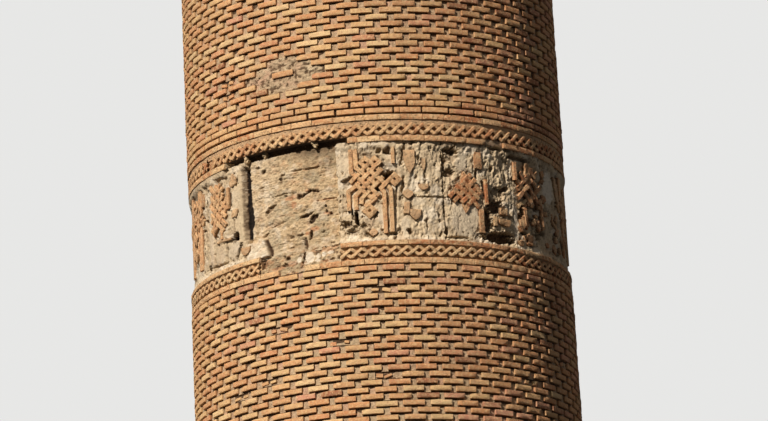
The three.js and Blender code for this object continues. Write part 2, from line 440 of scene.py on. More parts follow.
def layForms(forms, places, bent=False):
    # a place: form, azimuth, along, radius, lean, height, long, tall, turn, tone
    places = np.array(places, float)
    allPoints, allCorners, allStarts, allTones, allRecessShade = [], [], [], [], []
    pointCount, cornerCount = 0, 0
    for number, (points, corners, starts) in enumerate(forms):
        these = places[places[:, 0] == number]
        if not len(these):
            continue
        azimuth, along, radius, lean, height, long, tall, turn, tone = these[:, 1:, None].transpose(1, 0, 2)
        x, y, z = points[:, 0] * long, points[:, 1], points[:, 2] * tall
        x, z = x * np.cos(turn) - z * np.sin(turn) + along, x * np.sin(turn) + z * np.cos(turn)
        out = radius - lean * z - y
        if bent:
            azimuth, x = azimuth + x / radius, 0
        placed = np.stack([out * np.sin(azimuth) + x * np.cos(azimuth),
                           -out * np.cos(azimuth) + x * np.sin(azimuth), height + z], -1)
        step = np.arange(len(these))[:, None]
        allPoints.append(placed.reshape(-1, 3))
        allCorners.append((corners + len(points) * step + pointCount).ravel())
        allStarts.append((starts + len(corners) * step + cornerCount).ravel())
        allTones.append(np.repeat(tone.ravel(), len(points)))
        # painted shade: each form is marked darker the deeper its points lie behind its face
        allRecessShade.append(np.tile(np.clip((points[:, 1] - 0.004) / 0.014, 0, 1), len(these)))
        pointCount += len(points) * len(these)
        cornerCount += len(corners) * len(these)
    mesh = bpy.data.meshes.new("laid")
    mesh.vertices.add(pointCount)
    mesh.vertices.foreach_set("co", np.concatenate(allPoints).ravel())
    mesh.loops.add(cornerCount)
    mesh.loops.foreach_set("vertex_index", np.concatenate(allCorners))
    starts = np.concatenate(allStarts)
    mesh.polygons.add(len(starts))
    mesh.polygons.foreach_set("loop_start", starts)
    mesh.update(calc_edges=True)
    mark(mesh, tone=np.concatenate(allTones), deep=np.concatenate(allRecessShade))
    return mesh


brick = {
    "long": 0.2,
    "tall": 0.047,
    "depth": 0.034,
    "edge": 0.0028,
    "wear": 0.0014,
    "chips": (0, 0, 0, 0, 0.014, 0.02, 0.028),
    "proud": 0.002,        # beyond the CAD's outer line
    "forms": 14,
    "plugs": 6,            # forms of the mortar in an upright joint
    # how far one strays: share of its length, azimuth, out, up, share of its height, turn
    "astray": (0.022, 0.0016, 0.0016, 0.0013, 0.03, 0.005),
}


def inFront(edge, depth=0.001):
    return all(vert.co.y < depth for vert in edge.verts)


def span(edge, axis):
    return abs(edge.verts[0].co[axis] - edge.verts[1].co[axis])


def brickForm(fine):
    long, tall, depth = brick["long"], brick["tall"], brick["depth"]
    bm = bmesh.new()
    bmesh.ops.create_cube(bm, size=1, matrix=Matrix.Translation((0, depth / 2, 0)) @ Matrix.Diagonal(
        (long, depth, tall, 1)))
    front = [e for e in bm.edges if inFront(e)]
    if fine:
        level = [e for e in front if span(e, 0) > 0.01]
        bmesh.ops.subdivide_edges(bm, edges=level, cuts=4, use_grid_fill=True)
        upright = [e for e in bm.edges if span(e, 2) > 0.01 and inFront(e)]
        bmesh.ops.subdivide_edges(bm, edges=upright, cuts=1, use_grid_fill=True)
        front = [e for e in bm.edges if inFront(e) and any(f.normal.y > -0.5 for f in e.link_faces)]
    ease(bm, front, brick["edge"])
    if fine:
        chip = Vector((random.choice((-1, 1)) * long / 2, 0, random.choice((-1, 1)) * tall / 2))
        chipSize = random.choice(brick["chips"])
        for vert in bm.verts:
            if vert.co.y > depth * 0.9:
                continue
            for axis in range(3):
                vert.co[axis] += random.uniform(-1, 1) * brick["wear"]
            lost = chipSize - (vert.co - chip).length
            if lost > 0:
                vert.co.y += lost * 0.6
                vert.co.z -= math.copysign(lost * 0.3, chip.z)
    return takeForm(bm)


def plugForm():
    # mortar in an upright joint: set back at the top, sloping out onto the brick below
    bm = bmesh.new()
    bmesh.ops.create_grid(bm, x_segments=2, y_segments=3, size=0.5, matrix=Matrix.Rotation(math.pi / 2, 4, "X"))
    for vert in newVerts(bmesh.ops.extrude_edge_only(bm, edges=[e for e in bm.edges if e.is_boundary])):
        vert.co.y = 0.03
    slope = random.uniform(0.004, 0.014)
    for vert in bm.verts:
        if vert.co.y < 0.02:
            vert.co.y = 0.003 + (vert.co.z + 0.5) * slope + random.uniform(-0.0025, 0.0035)
    return takeForm(bm)


def blockForm(long, depth, tall, edge=0.0, turn=0.0):
    # a box of full size with its face at depth 0; a tooth is turned to show a corner
    bm = bmesh.new()
    place = Matrix.Translation((0, depth / 2, 0)) @ Matrix.Rotation(turn, 4, "Z")
    bmesh.ops.create_cube(bm, size=1, matrix=place @ Matrix.Diagonal((long, depth, tall, 1)))
    if edge:
        ease(bm, [e for e in bm.edges if inFront(e, depth / 2)], edge)
    return takeForm(bm)


fineBricks = [brickForm(True) for _ in range(brick["forms"])]
plainBricks = [brickForm(False)]
plugs = [plugForm() for _ in range(brick["plugs"])]
plainPlugs = [blockForm(1, 0.03, 1)]


def anyBrick():
    return int(dice.integers(brick["forms"]))


# courses: measured from the photograph, heights in radii and phases in radians
courses = {
    "lower": {"count": 45, "first": -0.574, "rise": -0.0376, "phase": (0.066, 0.136),
              "end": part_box("lower_shaft_quarter_1")[0].z, "long": 0.108},
    "upper": {"count": 42, "first": 0.3315, "rise": 0.03625, "phase": (0.0445, 0.12),
              "end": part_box("upper_shaft_quarter_1")[1].z, "long": 0.208},
    "closers": (0.2625, 0.2985),
    "leftInPatch": (3, -27.2, 0.5148, 0.03, 0.55),    # form, azimuth in degrees, h, turn, tone
    "plugTall": 0.066,
    "plugDepth": 0.013,    # behind the brick faces
    "parts": (("low", 8.6), ("middle", 14.6), ("high", 100)),    # and their tops
}
# fallen bricks: height and azimuth range in degrees; the first five rows are the bare patch
fallen = [
    (0.440, -32, -21.5), (0.4765, -36, -17), (0.5128, -41, -13.5), (0.549, -36, -18), (0.5853, -32, -22),
    (0.549, -50, -47.5), (0.4765, -50, -47.5), (-0.6868, -3.5, 2), (-0.950, -16, -8.2), (-0.837, -34, -27.5),
    (-1.1004, -38, -34), (-1.138, -3, 3), (-1.138, -50, -46), (-1.138, 46, 50), (-0.9876, 62, 68),
]
patch = fallen[:5]


def hasFallen(h, degrees, spans=fallen):
    return any(abs(h - row) < 0.012 and low < degrees < high for row, low, high in spans)


def rows():
    # each course: h, phase, bricks in the round, length of one, whether closers fill its joints
    for half in ("lower", "upper"):
        side = courses[half]
        if half == "upper":
            for number, h in enumerate(courses["closers"]):
                yield h, side["phase"][number], side["count"], side["long"], True
        number, h = 0, side["first"]
        while (side["end"] - atHeight(h)) * math.copysign(1, side["rise"]) > 0.03:
            long = side["long"] * (faceRadius(atHeight(h)) if half == "lower" else 1)
            yield h, side["phase"][number % 2], side["count"], long, False
            number += 1
            h = side["first"] + side["rise"] * number


def toneOf(degrees=0.0):
    # mostly straw and tan, redder towards the right
    return float(np.clip(dice.normal(0.42 + 0.21 * fade(8, 40, degrees), 0.23), 0, 1))


def layBroken(near, mortar, form, azimuth, radius, z, long, turn):
    # the stub of a broken brick, set back, and bits that hang on beside it
    mortar.append([int(dice.integers(brick["plugs"])), azimuth, 0, radius - 0.021, tower["taper"], z - 0.004,
                   long - 0.01, 0.052, turn, 0.5])
    for along in (-0.06, 0.05):
        near.append([form, azimuth, along + 0.015 * dice.normal(), radius - 0.014 + 0.004 * dice.normal(), 0,
                     z - 0.01 * dice.random(), 0.22 + 0.2 * dice.random(), 0.5 + 0.3 * dice.random(),
                     0.15 * dice.normal(), 0.2 + 0.6 * dice.random()])


def layShaft():
    near, mortar, farMortar = [], [], []
    far = {part: [] for part, _ in courses["parts"]}
    for h, phase, count, long, closed in rows():
        z = atHeight(h)
        radius = faceRadius(z) + brick["proud"]
        pitch = math.tau / count
        for k in range(count):
            azimuth = around(phase + k * pitch)
            degrees = math.degrees(azimuth)
            isNear = tower["nearBottom"] < z < tower["nearTop"] and abs(degrees) < tower["nearSide"]
            jitter = dice.normal(0, 1, 6)
            longer, along, out, up, taller, turn = jitter * brick["astray"]
            place = [anyBrick() if isNear else 0, azimuth + along, 0, radius + out, tower["taper"], z + up,
                     long / brick["long"] * (1 + longer), 1 + taller, turn, toneOf(degrees)]
            if not hasFallen(h, degrees):
                part = next(part for part, top in courses["parts"] if z < top)
                (near if isNear else far[part]).append(place)
            elif not hasFallen(h, degrees, patch):
                layBroken(near, mortar, place[0], azimuth, radius, z, long, 0.05 * jitter[0])
            if closed:
                tone = float(np.clip(place[9] + 0.08 * dice.normal(), 0, 1))
                closer = [place[0], azimuth - pitch / 2 + 0.006, *place[2:6], 0.046 / brick["long"], *place[7:9], tone]
                (near if isNear else far["high"]).append(closer)
            elif not hasFallen(h, degrees + math.degrees(pitch / 2), patch):
                joint = [int(dice.integers(brick["plugs"])) if isNear else 0, azimuth + pitch / 2, 0,
                         radius - courses["plugDepth"] + 0.002 * dice.normal(), tower["taper"], z - 0.0065,
                         pitch * radius - long + 0.006, courses["plugTall"], 0, dice.random()]
                (mortar if isNear else farMortar).append(joint)
    form, azimuth, h, turn, tone = courses["leftInPatch"]
    z = atHeight(h)
    near.append([form, math.radians(azimuth), 0, faceRadius(z) + 0.004, tower["taper"], z, 1.12, 1.1, turn, tone])
    addPiece("shaft_bricks_photographed_stretch", layForms(fineBricks, near), "brick")
    for part, places in far.items():
        addPiece(f"shaft_bricks_{part}", layForms(plainBricks, places), "brick")
    addPiece("joint_mortar", layForms(plugs, mortar), "joint", slotName="brick")
    addPiece("joint_mortar_far", layForms(plainPlugs, farMortar), "joint", slotName="brick")


layShaft()
print("shaft laid")

plinth = {
    "foot": 0.3,
    "footApothem": 2.5,
    "apothem": 2.42,
    "shoulder": 2.25,
    "top": 2.6,
    "topApothem": 2.01,
    "rise": 0.0696,        # from one course to the next
    "spacing": 0.2506,     # from one brick to the next
    "proud": 0.022,
    "astray": (0.0016, 0.001, 0.03, 0.004),    # out, up, share of its height, turn
    "slopes": (7, 0.05, 0.76),    # of the shoulder: courses, rise, how tall a brick is
    "door": 90,            # azimuth of the doorway's wall, in degrees
    "doorHalf": 0.45,
    "doorSpring": 1.5,
    "doorArc": 0.72,
    "ring": 0.14,          # width of the bricks round the doorway
    "stones": 5,
    "stoneRows": (0.075, 0.225),
    "stoneTall": 0.146,
    "stoneProud": 0.008,
    "joint": 0.008,        # between two stones
}


def doorGap(z, more):
    # half the width of the doorway at a height, widened by more
    if z < plinth["doorSpring"]:
        return plinth["doorHalf"] + more
    up, reach = z - plinth["doorSpring"], plinth["doorArc"] + more
    return math.sqrt(max(0, reach ** 2 - up ** 2)) - (plinth["doorArc"] - plinth["doorHalf"]) if up < reach else 0


def layRow(places, side, apothem, lean, z, tall, odd):
    # one course of one wall, cut at the corners and round the doorway
    half = (apothem + plinth["proud"]) * math.tan(math.pi / 8) - 0.006
    gap = max(0, doorGap(z, plinth["ring"])) if side == plinth["door"] else 0
    for k in range(-5, 6):
        middle = (k + odd / 2) * plinth["spacing"]
        low, high = max(-half, middle - brick["long"] / 2), min(half, middle + brick["long"] / 2)
        for left, right in ((low, min(high, -gap)), (max(low, gap), high)) if gap else ((low, high),):
            if right - left > 0.04:
                out, up, taller, turn = dice.normal(0, 1, 4) * plinth["astray"]
                places.append([anyBrick(), math.radians(side), (left + right) / 2,
                               apothem + plinth["proud"] + out, lean, z + up, (right - left) / brick["long"],
                               tall * (1 + taller), turn, toneOf()])


def layDoorway(places):
    side = math.radians(plinth["door"])
    radius = plinth["apothem"] + plinth["proud"] + 0.004
    wide = plinth["ring"] - 0.012
    z = plinth["foot"] + plinth["rise"] / 2
    while z < plinth["doorSpring"] - 0.02:
        for way in (-1, 1):
            places.append([anyBrick(), side, way * (plinth["doorHalf"] + plinth["ring"] / 2), radius, 0, z,
                           wide / brick["long"], 1, 0.004 * dice.normal(), toneOf()])
        z += plinth["rise"]
    # the arch, whose highest bricks are cut short under the shoulder
    offset = plinth["doorArc"] - plinth["doorHalf"]
    reach = plinth["doorArc"] + plinth["ring"] / 2
    last = math.acos(offset / reach)
    count = round(last * reach / plinth["rise"])
    inner = plinth["doorArc"] + 0.006
    for k in range(count):
        angle = last * (k + 0.5) / count
        outer = min(inner + wide, (plinth["shoulder"] - 0.008 - plinth["doorSpring"]) / math.sin(angle))
        reach = (inner + outer) / 2
        for way in (-1, 1):
            places.append([anyBrick(), side, way * (reach * math.cos(angle) - offset), radius, 0,
                           plinth["doorSpring"] + reach * math.sin(angle), (outer - inner) / brick["long"], 1.05,
                           way * angle, toneOf()])


def layPlinth():
    places, slopes, stones = [], [], []
    fall = (plinth["apothem"] - plinth["topApothem"]) / (plinth["top"] - plinth["shoulder"])
    long = 2 * plinth["footApothem"] * math.tan(math.pi / 8) / plinth["stones"]

    def layStone(side, middle, wide, z, out, tone):
        stones.append([0, math.radians(side), middle, plinth["footApothem"] + plinth["stoneProud"] + out, 0, z,
                       wide - plinth["joint"], plinth["stoneTall"], 0, tone])

    for side in range(0, 360, 45):
        for row in range(int((plinth["shoulder"] - plinth["foot"]) / plinth["rise"])):
            layRow(places, side, plinth["apothem"], 0, plinth["foot"] + plinth["rise"] * (row + 0.5), 1, row % 2)
        count, rise, tall = plinth["slopes"]
        for row in range(count):
            up = rise * (row + 0.5)
            layRow(slopes, side, plinth["apothem"] - fall * up, fall, plinth["shoulder"] + up, tall, row % 2)
        for row, z in enumerate(plinth["stoneRows"]):
            for k in range(plinth["stones"] + row):
                left = max(0, (k - row / 2) * long)
                right = min(long * plinth["stones"], (k + 1 - row / 2) * long)
                middle = (left + right - long * plinth["stones"]) / 2
                if side != plinth["door"] or abs(middle) >= plinth["doorHalf"] + (right - left) / 2 - 0.06:
                    layStone(side, middle, right - left, z, 0.003 * dice.normal(), dice.random())
    for way in (-1, 1):
        # the low stones beside the doorway are cut to fit
        layStone(plinth["door"], way * (1.5 * long + plinth["doorHalf"]) / 2, 1.5 * long - plinth["doorHalf"],
                 plinth["stoneRows"][0], 0, 0.5)
    layDoorway(places)
    addPiece("plinth_bricks", layForms(fineBricks, places), "brick")
    addPiece("shoulder_bricks", layForms(fineBricks, slopes), "brick")
    addPiece("foot_stones", layForms([blockForm(1, 0.09, 1, 0.006)], stones), "stone")


layPlinth()
print("plinth laid")

crown = {
    "steps": 3,
    "bottom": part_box("cornice")[0].z,
    "top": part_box("cornice")[1].z,
    "reach": 0.08,         # of each step beyond the one below
    "soldier": 0.168,      # height of the upright bricks of a step
    "soldierPitch": 0.066,
    "pitch": 0.216,        # of the flat bricks
    "tooth": (0.052, 0.052, 0.11, 0, math.pi / 4),
    "toothPitch": 0.078,
    "parapetBottom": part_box("parapet")[0].z,
    "parapetTop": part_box("parapet")[1].z,
    "parapetRows": 12,
    "parapetOut": 2.0757,
    "parapetIn": 1.8157,
    "outerPitch": 0.2717,
    "innerPitch": 0.2535,
    "proud": 0.012,
    "astray": (0.0015, 0.001, 0.004),    # out, up, turn
    "stones": 24,          # of the coping
}


def layRing(places, form, radius, z, spacing, long, tall, turn=0.0, shift=0.0):
    count = round(math.tau * abs(radius) / spacing)
    scale = math.tau * abs(radius) / count / spacing
    for k in range(count):
        out, up, more = dice.normal(0, 1, 3) * crown["astray"]
        places.append([form, (k + shift) * math.tau / count, 0, radius + out, 0, z + up, long * scale, tall,
                       turn + more, toneOf()])


def layCrown():
    forms = [*plainBricks, blockForm(*crown["tooth"])]
    cornice, parapet = [], []
    rise = (crown["top"] - crown["bottom"]) / crown["steps"]
    for step in range(crown["steps"]):
        radius = faceRadius(crown["bottom"]) + crown["reach"] * (step + 1)
        bottom = crown["bottom"] + rise * step
        if step == 1:
            # a dogtooth course between two flat ones
            layRing(cornice, 0, radius + crown["proud"], bottom + 0.03, crown["pitch"], 1.02, 1, shift=0.25)
            layRing(cornice, 1, radius + 0.02, bottom + 0.119, crown["toothPitch"], 1, 1)
        else:
            layRing(cornice, 0, radius + crown["proud"], bottom + 0.004 + crown["soldier"] / 2, crown["soldierPitch"],
                    crown["soldier"] / brick["long"], 1.05, math.pi / 2)
        layRing(cornice, 0, radius + crown["proud"] + 0.008, bottom + rise - 0.032, crown["pitch"], 1.02, 1.08,
                shift=0.5)
    rise = (crown["parapetTop"] - crown["parapetBottom"]) / crown["parapetRows"]
    for row in range(crown["parapetRows"]):
        for radius, pitch, long in ((crown["parapetOut"], crown["outerPitch"], 1.04),
                                    (-crown["parapetIn"], crown["innerPitch"], 0.98)):
            layRing(parapet, 0, radius + crown["proud"], crown["parapetBottom"] + rise * (row + 0.5), pitch, long, 1,
                    shift=row % 2 / 2)
    addPiece("cornice_bricks", layForms(forms, cornice), "brick")
    addPiece("parapet_bricks", layForms(forms[:1], parapet), "brick")


def layCoping():
    # bent stones, each with eased edges and a narrow joint
    low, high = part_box("parapet_coping")
    outer = high.x
    wide = outer - crown["parapetIn"] + 0.02
    bm = bmesh.new()
    bmesh.ops.create_cube(bm, size=1, matrix=Matrix.Diagonal(
        (math.tau * outer / crown["stones"] - 0.009, wide, high.z - low.z, 1)))
    ease(bm, bm.edges[:], 0.008, 2)
    bmesh.ops.subdivide_edges(bm, edges=[e for e in bm.edges if span(e, 0) > 0.1], cuts=4)
    bmesh.ops.translate(bm, verts=bm.verts, vec=(0, wide / 2, 0))
    places = [[0, k * math.tau / crown["stones"], 0, outer, 0, (low.z + high.z) / 2 + 0.001 * dice.normal(), 1, 1, 0,
               dice.random()] for k in range(crown["stones"])]
    addPiece("coping_stones", layForms([takeForm(bm)], places, True), "stone",
             "parapet_coping", sharp=60)


layCrown()
layCoping()
print("crown laid")


# rings turned round the tower

def ringMesh(profile, first, turn):
    bm = bmesh.new()
    whole = turn > math.tau - 0.001
    verts = [bm.verts.new((radius * math.sin(first), -radius * math.cos(first), z)) for radius, z in profile]
    edges = [bm.edges.new(pair) for pair in zip(verts, verts[1:] + verts[:1])]
    caps = [] if whole else [bm.faces.new(verts)]
    bmesh.ops.spin(bm, geom=verts + edges + caps, cent=(0, 0, 0), axis=(0, 0, 1), angle=turn,
                   steps=round(turn * 24), use_merge=whole)
    bmesh.ops.remove_doubles(bm, verts=bm.verts, dist=1e-5)
    bmesh.ops.recalc_face_normals(bm, faces=bm.faces)
    return writeMesh(bm)


band = {
    "inner": 1.7306,
    "chainCount": 108,
    "chainPhase": math.radians(1.7),
    "chainBack": 0.031,
    "strand": 0.034,       # width of a strand
    "swing": 0.0375,       # of a strand from the middle of its chain
    "crossing": 0.0035,    # one strand over the other
    "reach": 1.85,         # of a strand, in links
    "steps": 9,
    "wear": 0.0012,
    "seeds": 4,            # forms of a link
    "filletCount": 54,
    "filletBack": 0.016,
    "filletGap": 0.004,
}
# each ring: stretches that have fallen away, in degrees, then for a chain the height of its middle and how far
# its shelf lies under its top, and for a fillet its phase, drop and the tones between two azimuths
rings = {
    "lower_band_bottom_fillet": {"lost": [(-31.2, -22.8)], "phase": 5.43, "drop": 0, "tones": [(-12, 20, 0.5)]},
    "lower_band_chain": {"lost": [(-38, -11.5), (14, 16.5)], "middle": 0.064, "shelf": 0.014},
    "lower_band_top_fillet": {"lost": [(-38, -11.5)], "phase": 5.23, "drop": 0.005,
                              "tones": [(-10.5, 2, 0.6), (2, 9, 0.05), (9, 36, 0.95)]},
    "upper_band_bottom_fillet": {"lost": [(-51.3, -8), (37.5, 41)], "phase": 5.07, "drop": 0.009,
                                 "tones": [(-8, 2, 0.02), (2, 36, 0.55)]},
    "upper_band_chain": {"lost": [(-60.5, -57), (-19.5, -17.5)], "middle": 0.057, "shelf": 0.048},
    "upper_band_top_fillet": {"lost": [], "phase": 11.53, "drop": 0, "tones": []},
}
for name, ring in rings.items():
    ring["bottom"], ring["top"] = (corner.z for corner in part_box(name))


def isLost(ring, degrees):
    return any(low < degrees < high for low, high in ring["lost"])


def layFillet(name, ring):
    z = (ring["bottom"] + ring["top"]) / 2 - ring["drop"]
    tall = (ring["top"] - ring["bottom"] - band["filletGap"]) / brick["tall"]
    pitch = 360 / band["filletCount"]
    places = []
    for k in range(band["filletCount"]):
        degrees = math.degrees(around(math.radians(ring["phase"] + k * pitch)))
        tone = next((tone for low, high, tone in ring["tones"] if low < degrees < high), toneOf(degrees))
        left, right = degrees - pitch / 2, degrees + pitch / 2
        for low, high in ring["lost"]:
            left, right = high if low < left < high else left, low if low < right < high else right
        if isLost(ring, degrees) and right - left > 5 or right - left < 1.5:
            continue
        long = (math.radians(right - left) * faceRadius(z) - band["filletGap"]) / brick["long"]
        places.append([anyBrick(), math.radians((left + right) / 2), 0, faceRadius(z) - 0.001 + 0.001 * dice.normal(),
                       tower["taper"], z, long, tall, 0.002 * dice.normal(), tone])
    addPiece(name.replace("fillet", "tiles"), layForms(fineBricks, places), "terracotta")


def strap(bm, line, width, root, edge, capped=True):
    # a flat strap with eased edges, laid along points of (right, up, depth of its face)
    half = width / 2
    section = [(-half, root), (-half, edge), (edge - half, 0), (half - edge, 0), (half, edge), (half, root)]
    spine = [Vector(point[:2]) for point in line]
    stations = []
    for k, (point, (_, _, depth)) in enumerate(zip(spine, line)):
        before = (point - spine[k - 1]).normalized() if k else (spine[1] - point).normalized()
        after = (spine[k + 1] - point).normalized() if k + 1 < len(spine) else before
        way = (before + after).normalized()
        side = Vector((-way.y, way.x)) / max(0.5, way.dot(before))
        stations.append([(point.x + side.x * off, drop if drop == root else depth + drop, point.y + side.y * off)
                         for off, drop in section])
    if capped:
        sunk = [[(x, root, z) for x, _, z in stations[k]] for k in (0, -1)]
        stations = [sunk[0]] + stations + [sunk[1]]
    grid = bmesh.ops.create_grid(bm, x_segments=len(section) - 1, y_segments=len(stations) - 1, size=1)
    for vert, place in zip(grid["verts"], [place for station in stations for place in station]):
        vert.co = place


def strandForm(rising, seed):
    # one strand from eye to eye; the rising one lies over the falling one
    length = math.tau / band["chainCount"] * band["reach"]
    line = []
    for k in range(band["steps"] + 1):
        t = k / band["steps"]
        swing = min(1, max(-1, (t - 0.5) * 2.35))
        lift = 0.002 + (0 if rising else 2 * band["crossing"]) * math.sin(math.pi * t) ** 2
        line.append((t * length - length / 2, band["swing"] * (swing if rising else -swing), lift))
    bm = bmesh.new()
    strap(bm, line, band["strand"], 0.04, 0.006, capped=False)
    wobble = random.Random(seed)
    for vert in bm.verts:
        if abs(vert.co.x) < length * 0.49:
            vert.co.y += wobble.uniform(-1, 1) * band["wear"]
            vert.co.z += wobble.uniform(-1, 1) * band["wear"]
    return takeForm(bm)


def layChain(name, ring):
    z = ring["bottom"] + ring["middle"]
    forms = [strandForm(rising, seed) for seed in range(band["seeds"]) for rising in (True, False)]
    places = []
    for k in range(band["chainCount"]):
        azimuth = around(band["chainPhase"] + (k + 0.5) * math.tau / band["chainCount"])
        degrees = math.degrees(azimuth)
        if isLost(ring, degrees):
            continue
        seed = 2 * int(dice.integers(band["seeds"]))
        tone = float(np.clip(dice.normal(0.4, 0.25) + 0.3 * fade(15, 50, degrees), 0, 1))
        if z < tower["middle"]:
            tone *= 0.6 + 0.5 * fade(20, 40, degrees)
        for half in (0, 1):
            places.append([seed + half, azimuth, 0, faceRadius(z), tower["taper"], z, 1,
                           (ring["top"] - ring["bottom"]) / 0.135, 0, tone])
    addPiece(name + "_strands", layForms(forms, places), "terracotta")


def layBacking(name, ring):
    # what is behind a fillet or chain: a closed ring, or what is left of it
    isChain = "chain" in name
    back = band["chainBack" if isChain else "filletBack"]
    bottom, top = ring["bottom"], ring["top"]
    shelf = top - ring["shelf"] if isChain else top + 1
    profile = [(band["inner"], bottom), (faceRadius(bottom) - back - 0.002, bottom),
               (faceRadius(bottom) - back, bottom + 0.003)]
    if isChain:
        # above the eyes the mortar comes nearly to the faces of the strands
        profile += [(faceRadius(shelf) - back, shelf - 0.008), (faceRadius(shelf) - 0.019, shelf),
                    (faceRadius(top) - 0.011, top), (band["inner"], top)]
    else:
        profile += [(faceRadius(top) - back, top), (band["inner"], top)]
    first, last = next(((high, low + 360) for low, high in ring["lost"] if high - low > 5), (0, 360))
    mesh = ringMesh(profile, math.radians(first), math.radians(last - first))
    heights = readPoints(mesh)[:, 2]
    under = np.where(heights < bottom + 0.001, 1.0, 0.0)
    above = np.where(heights > shelf - 0.001, 1.0, 0.0)
    # painted shade on the soffit under each ring and, lighter, on the backing under a chain's shelf; the shelf itself
    # is pale mortar
    mark(mesh, tone=0.75 - 0.5 * above, deep=0.22 * (1 - above) + 0.98 * under, dust=0.9 * above, hollow=under)
    addPiece(name + "_backing", mesh, "terracotta" if isChain else "joint", name, slotName="terracotta")


for lay, kind in ((layBacking, "band"), (layChain, "chain"), (layFillet, "fillet")):
    for name, ring in rings.items():
        if kind in name:
            lay(name, ring)
print("band laid")

# the field between the fillets: sheets of grid cells pressed into relief

sheet = {
    "fine": 0.0075,        # size of a cell in the photographed bays
    "coarse": 0.014,
    "rough": 0.0065,       # and where bricks and a chain have fallen
    "fineBays": (0, 1, 2, 11),
    "knotAzimuth": -1.555,  # an eyelet near the middle of the main knot, in degrees
    "knotHeight": 15.445,
    "unit": (0.0458, 0.044),  # from one crossing of the plait to the next
    "bays": 13,
    "firstBay": -1.8,
    "coreRight": -12.0,
    "overlap": 1.3,        # of the sheets beside and under each other, in degrees
    "deepest": 0.119,
    "rim": 0.1194,         # depth of the edges, turned back into the wall
}
# hollows: azimuth, h, half width in degrees, half height, depth in metres, and a lean in degrees
hollows = [
    (-8.6, -0.105, 1.75, 0.021, 0.038), (-9.3, -0.33, 1.5, 0.02, 0.04), (-6.3, -0.302, 0.55, 0.042, 0.075, 6),
    (-7.5, -0.28, 0.25, 0.03, 0.04, 3), (-7, -0.355, 1.4, 0.012, 0.03, 40), (3.4, -0.085, 2.1, 0.019, 0.07, 35),
    (1.2, 0.048, 1.1, 0.012, 0.04, 35), (3.7, 0.045, 1.3, 0.016, 0.05, 20), (8.5, 0.03, 0.45, 0.055, 0.03, -15),
    (13.2, 0.005, 0.55, 0.018, 0.03), (0.4, -0.148, 1.5, 0.013, 0.05, 35), (9.6, -0.385, 0.6, 0.014, 0.045),
    (13, -0.132, 0.35, 0.006, 0.03), (24.5, -0.411, 3.6, 0.006, 0.028, 2), (23.6, 0.018, 2, 0.03, 0.028, 20),
    (39.5, -0.145, 2.4, 0.028, 0.028), (8, -0.13, 0.45, 0.045, 0.03, -8), (-7.5, -0.378, 1.6, 0.012, 0.028),
    (-4.2, -0.345, 1, 0.014, 0.035, 30), (6, -0.17, 0.25, 0.07, 0.025, -4), (-2.6, -0.395, 1.6, 0.01, 0.03, -20),
    (4.2, -0.395, 1.3, 0.01, 0.035), (20.4, -0.18, 0.22, 0.26, 0.045), (15.8, -0.199, 5, 0.0035, 0.03),
    (22.9, 0.052, 2.6, 0.016, 0.06), (22.6, -0.062, 1.3, 0.026, 0.05, 35), (21, -0.02, 0.6, 0.05, 0.045),
    (20.8, -0.38, 0.7, 0.025, 0.045), (25, -0.205, 1.6, 0.008, 0.035, -12), (34.6, -0.15, 0.8, 0.05, 0.065, 12),
    (38.3, -0.225, 3.3, 0.035, 0.06, -8), (35.2, -0.3, 1.5, 0.07, 0.06), (39.2, -0.388, 6, 0.034, 0.066),
    (31.8, -0.06, 0.5, 0.03, 0.05), (38.5, 0.088, 3, 0.01, 0.05), (42.5, -0.12, 2, 0.014, 0.055, 20),
    (37.5, -0.02, 0.6, 0.014, 0.04), (46.5, -0.05, 0.7, 0.02, 0.04), (51.5, -0.2, 2.2, 0.012, 0.05, 10),
    (54, -0.26, 1.2, 0.02, 0.045), (49.5, -0.335, 2, 0.013, 0.045, -8), (53, -0.39, 2, 0.014, 0.05),
    (56.5, -0.12, 1.4, 0.012, 0.045), (62, -0.17, 1.4, 0.012, 0.04), (60, -0.31, 1.6, 0.012, 0.045),
    (48, 0.06, 4.5, 0.012, 0.045), (-48.6, -0.281, 1.7, 0.024, 0.08), (-64.6, -0.037, 1.3, 0.014, 0.05, 20),
    (-65, -0.13, 0.9, 0.011, 0.045), (-65.4, -0.2, 0.6, 0.03, 0.04), (-63.6, -0.392, 0.9, 0.016, 0.06),
    (-69.2, -0.106, 1.6, 0.01, 0.045), (-50.7, -0.056, 0.35, 0.06, 0.035), (-55.5, 0.03, 0.9, 0.007, 0.014, 20),
    (-47.6, -0.37, 0.5, 0.05, 0.07, -30), (-64.5, 0.1, 1.3, 0.008, 0.045, -20), (-68, -0.165, 3, 0.006, 0.03, -8),
    (-49.3, -0.225, 0.3, 0.04, 0.035), (-53.4, -0.34, 0.5, 0.05, 0.05), (-57.6, -0.396, 4.8, 0.005, 0.035, -3),
    (-54.5, -0.292, 4, 0.003, 0.01, -3), (-47.5, 0.012, 0.45, 0.022, 0.04, -20), (-48, -0.16, 0.5, 0.016, 0.04, -25),
    (-61.9, -0.19, 1.2, 0.2, -0.009), (56, -0.17, 1.6, 0.03, 0.045, 10), (59.5, -0.22, 1.2, 0.03, 0.045),
    (48.6, -0.25, 1, 0.02, 0.045), (57, -0.33, 1.6, 0.02, 0.045), (52, -0.375, 1.1, 0.012, 0.06),
    (72, -0.2, 2, 0.02, 0.04), (68, -0.3, 2.2, 0.014, 0.04, 20), (74, 0.02, 1.6, 0.05, 0.04),
    (70.5, -0.38, 2, 0.012, 0.04),
]
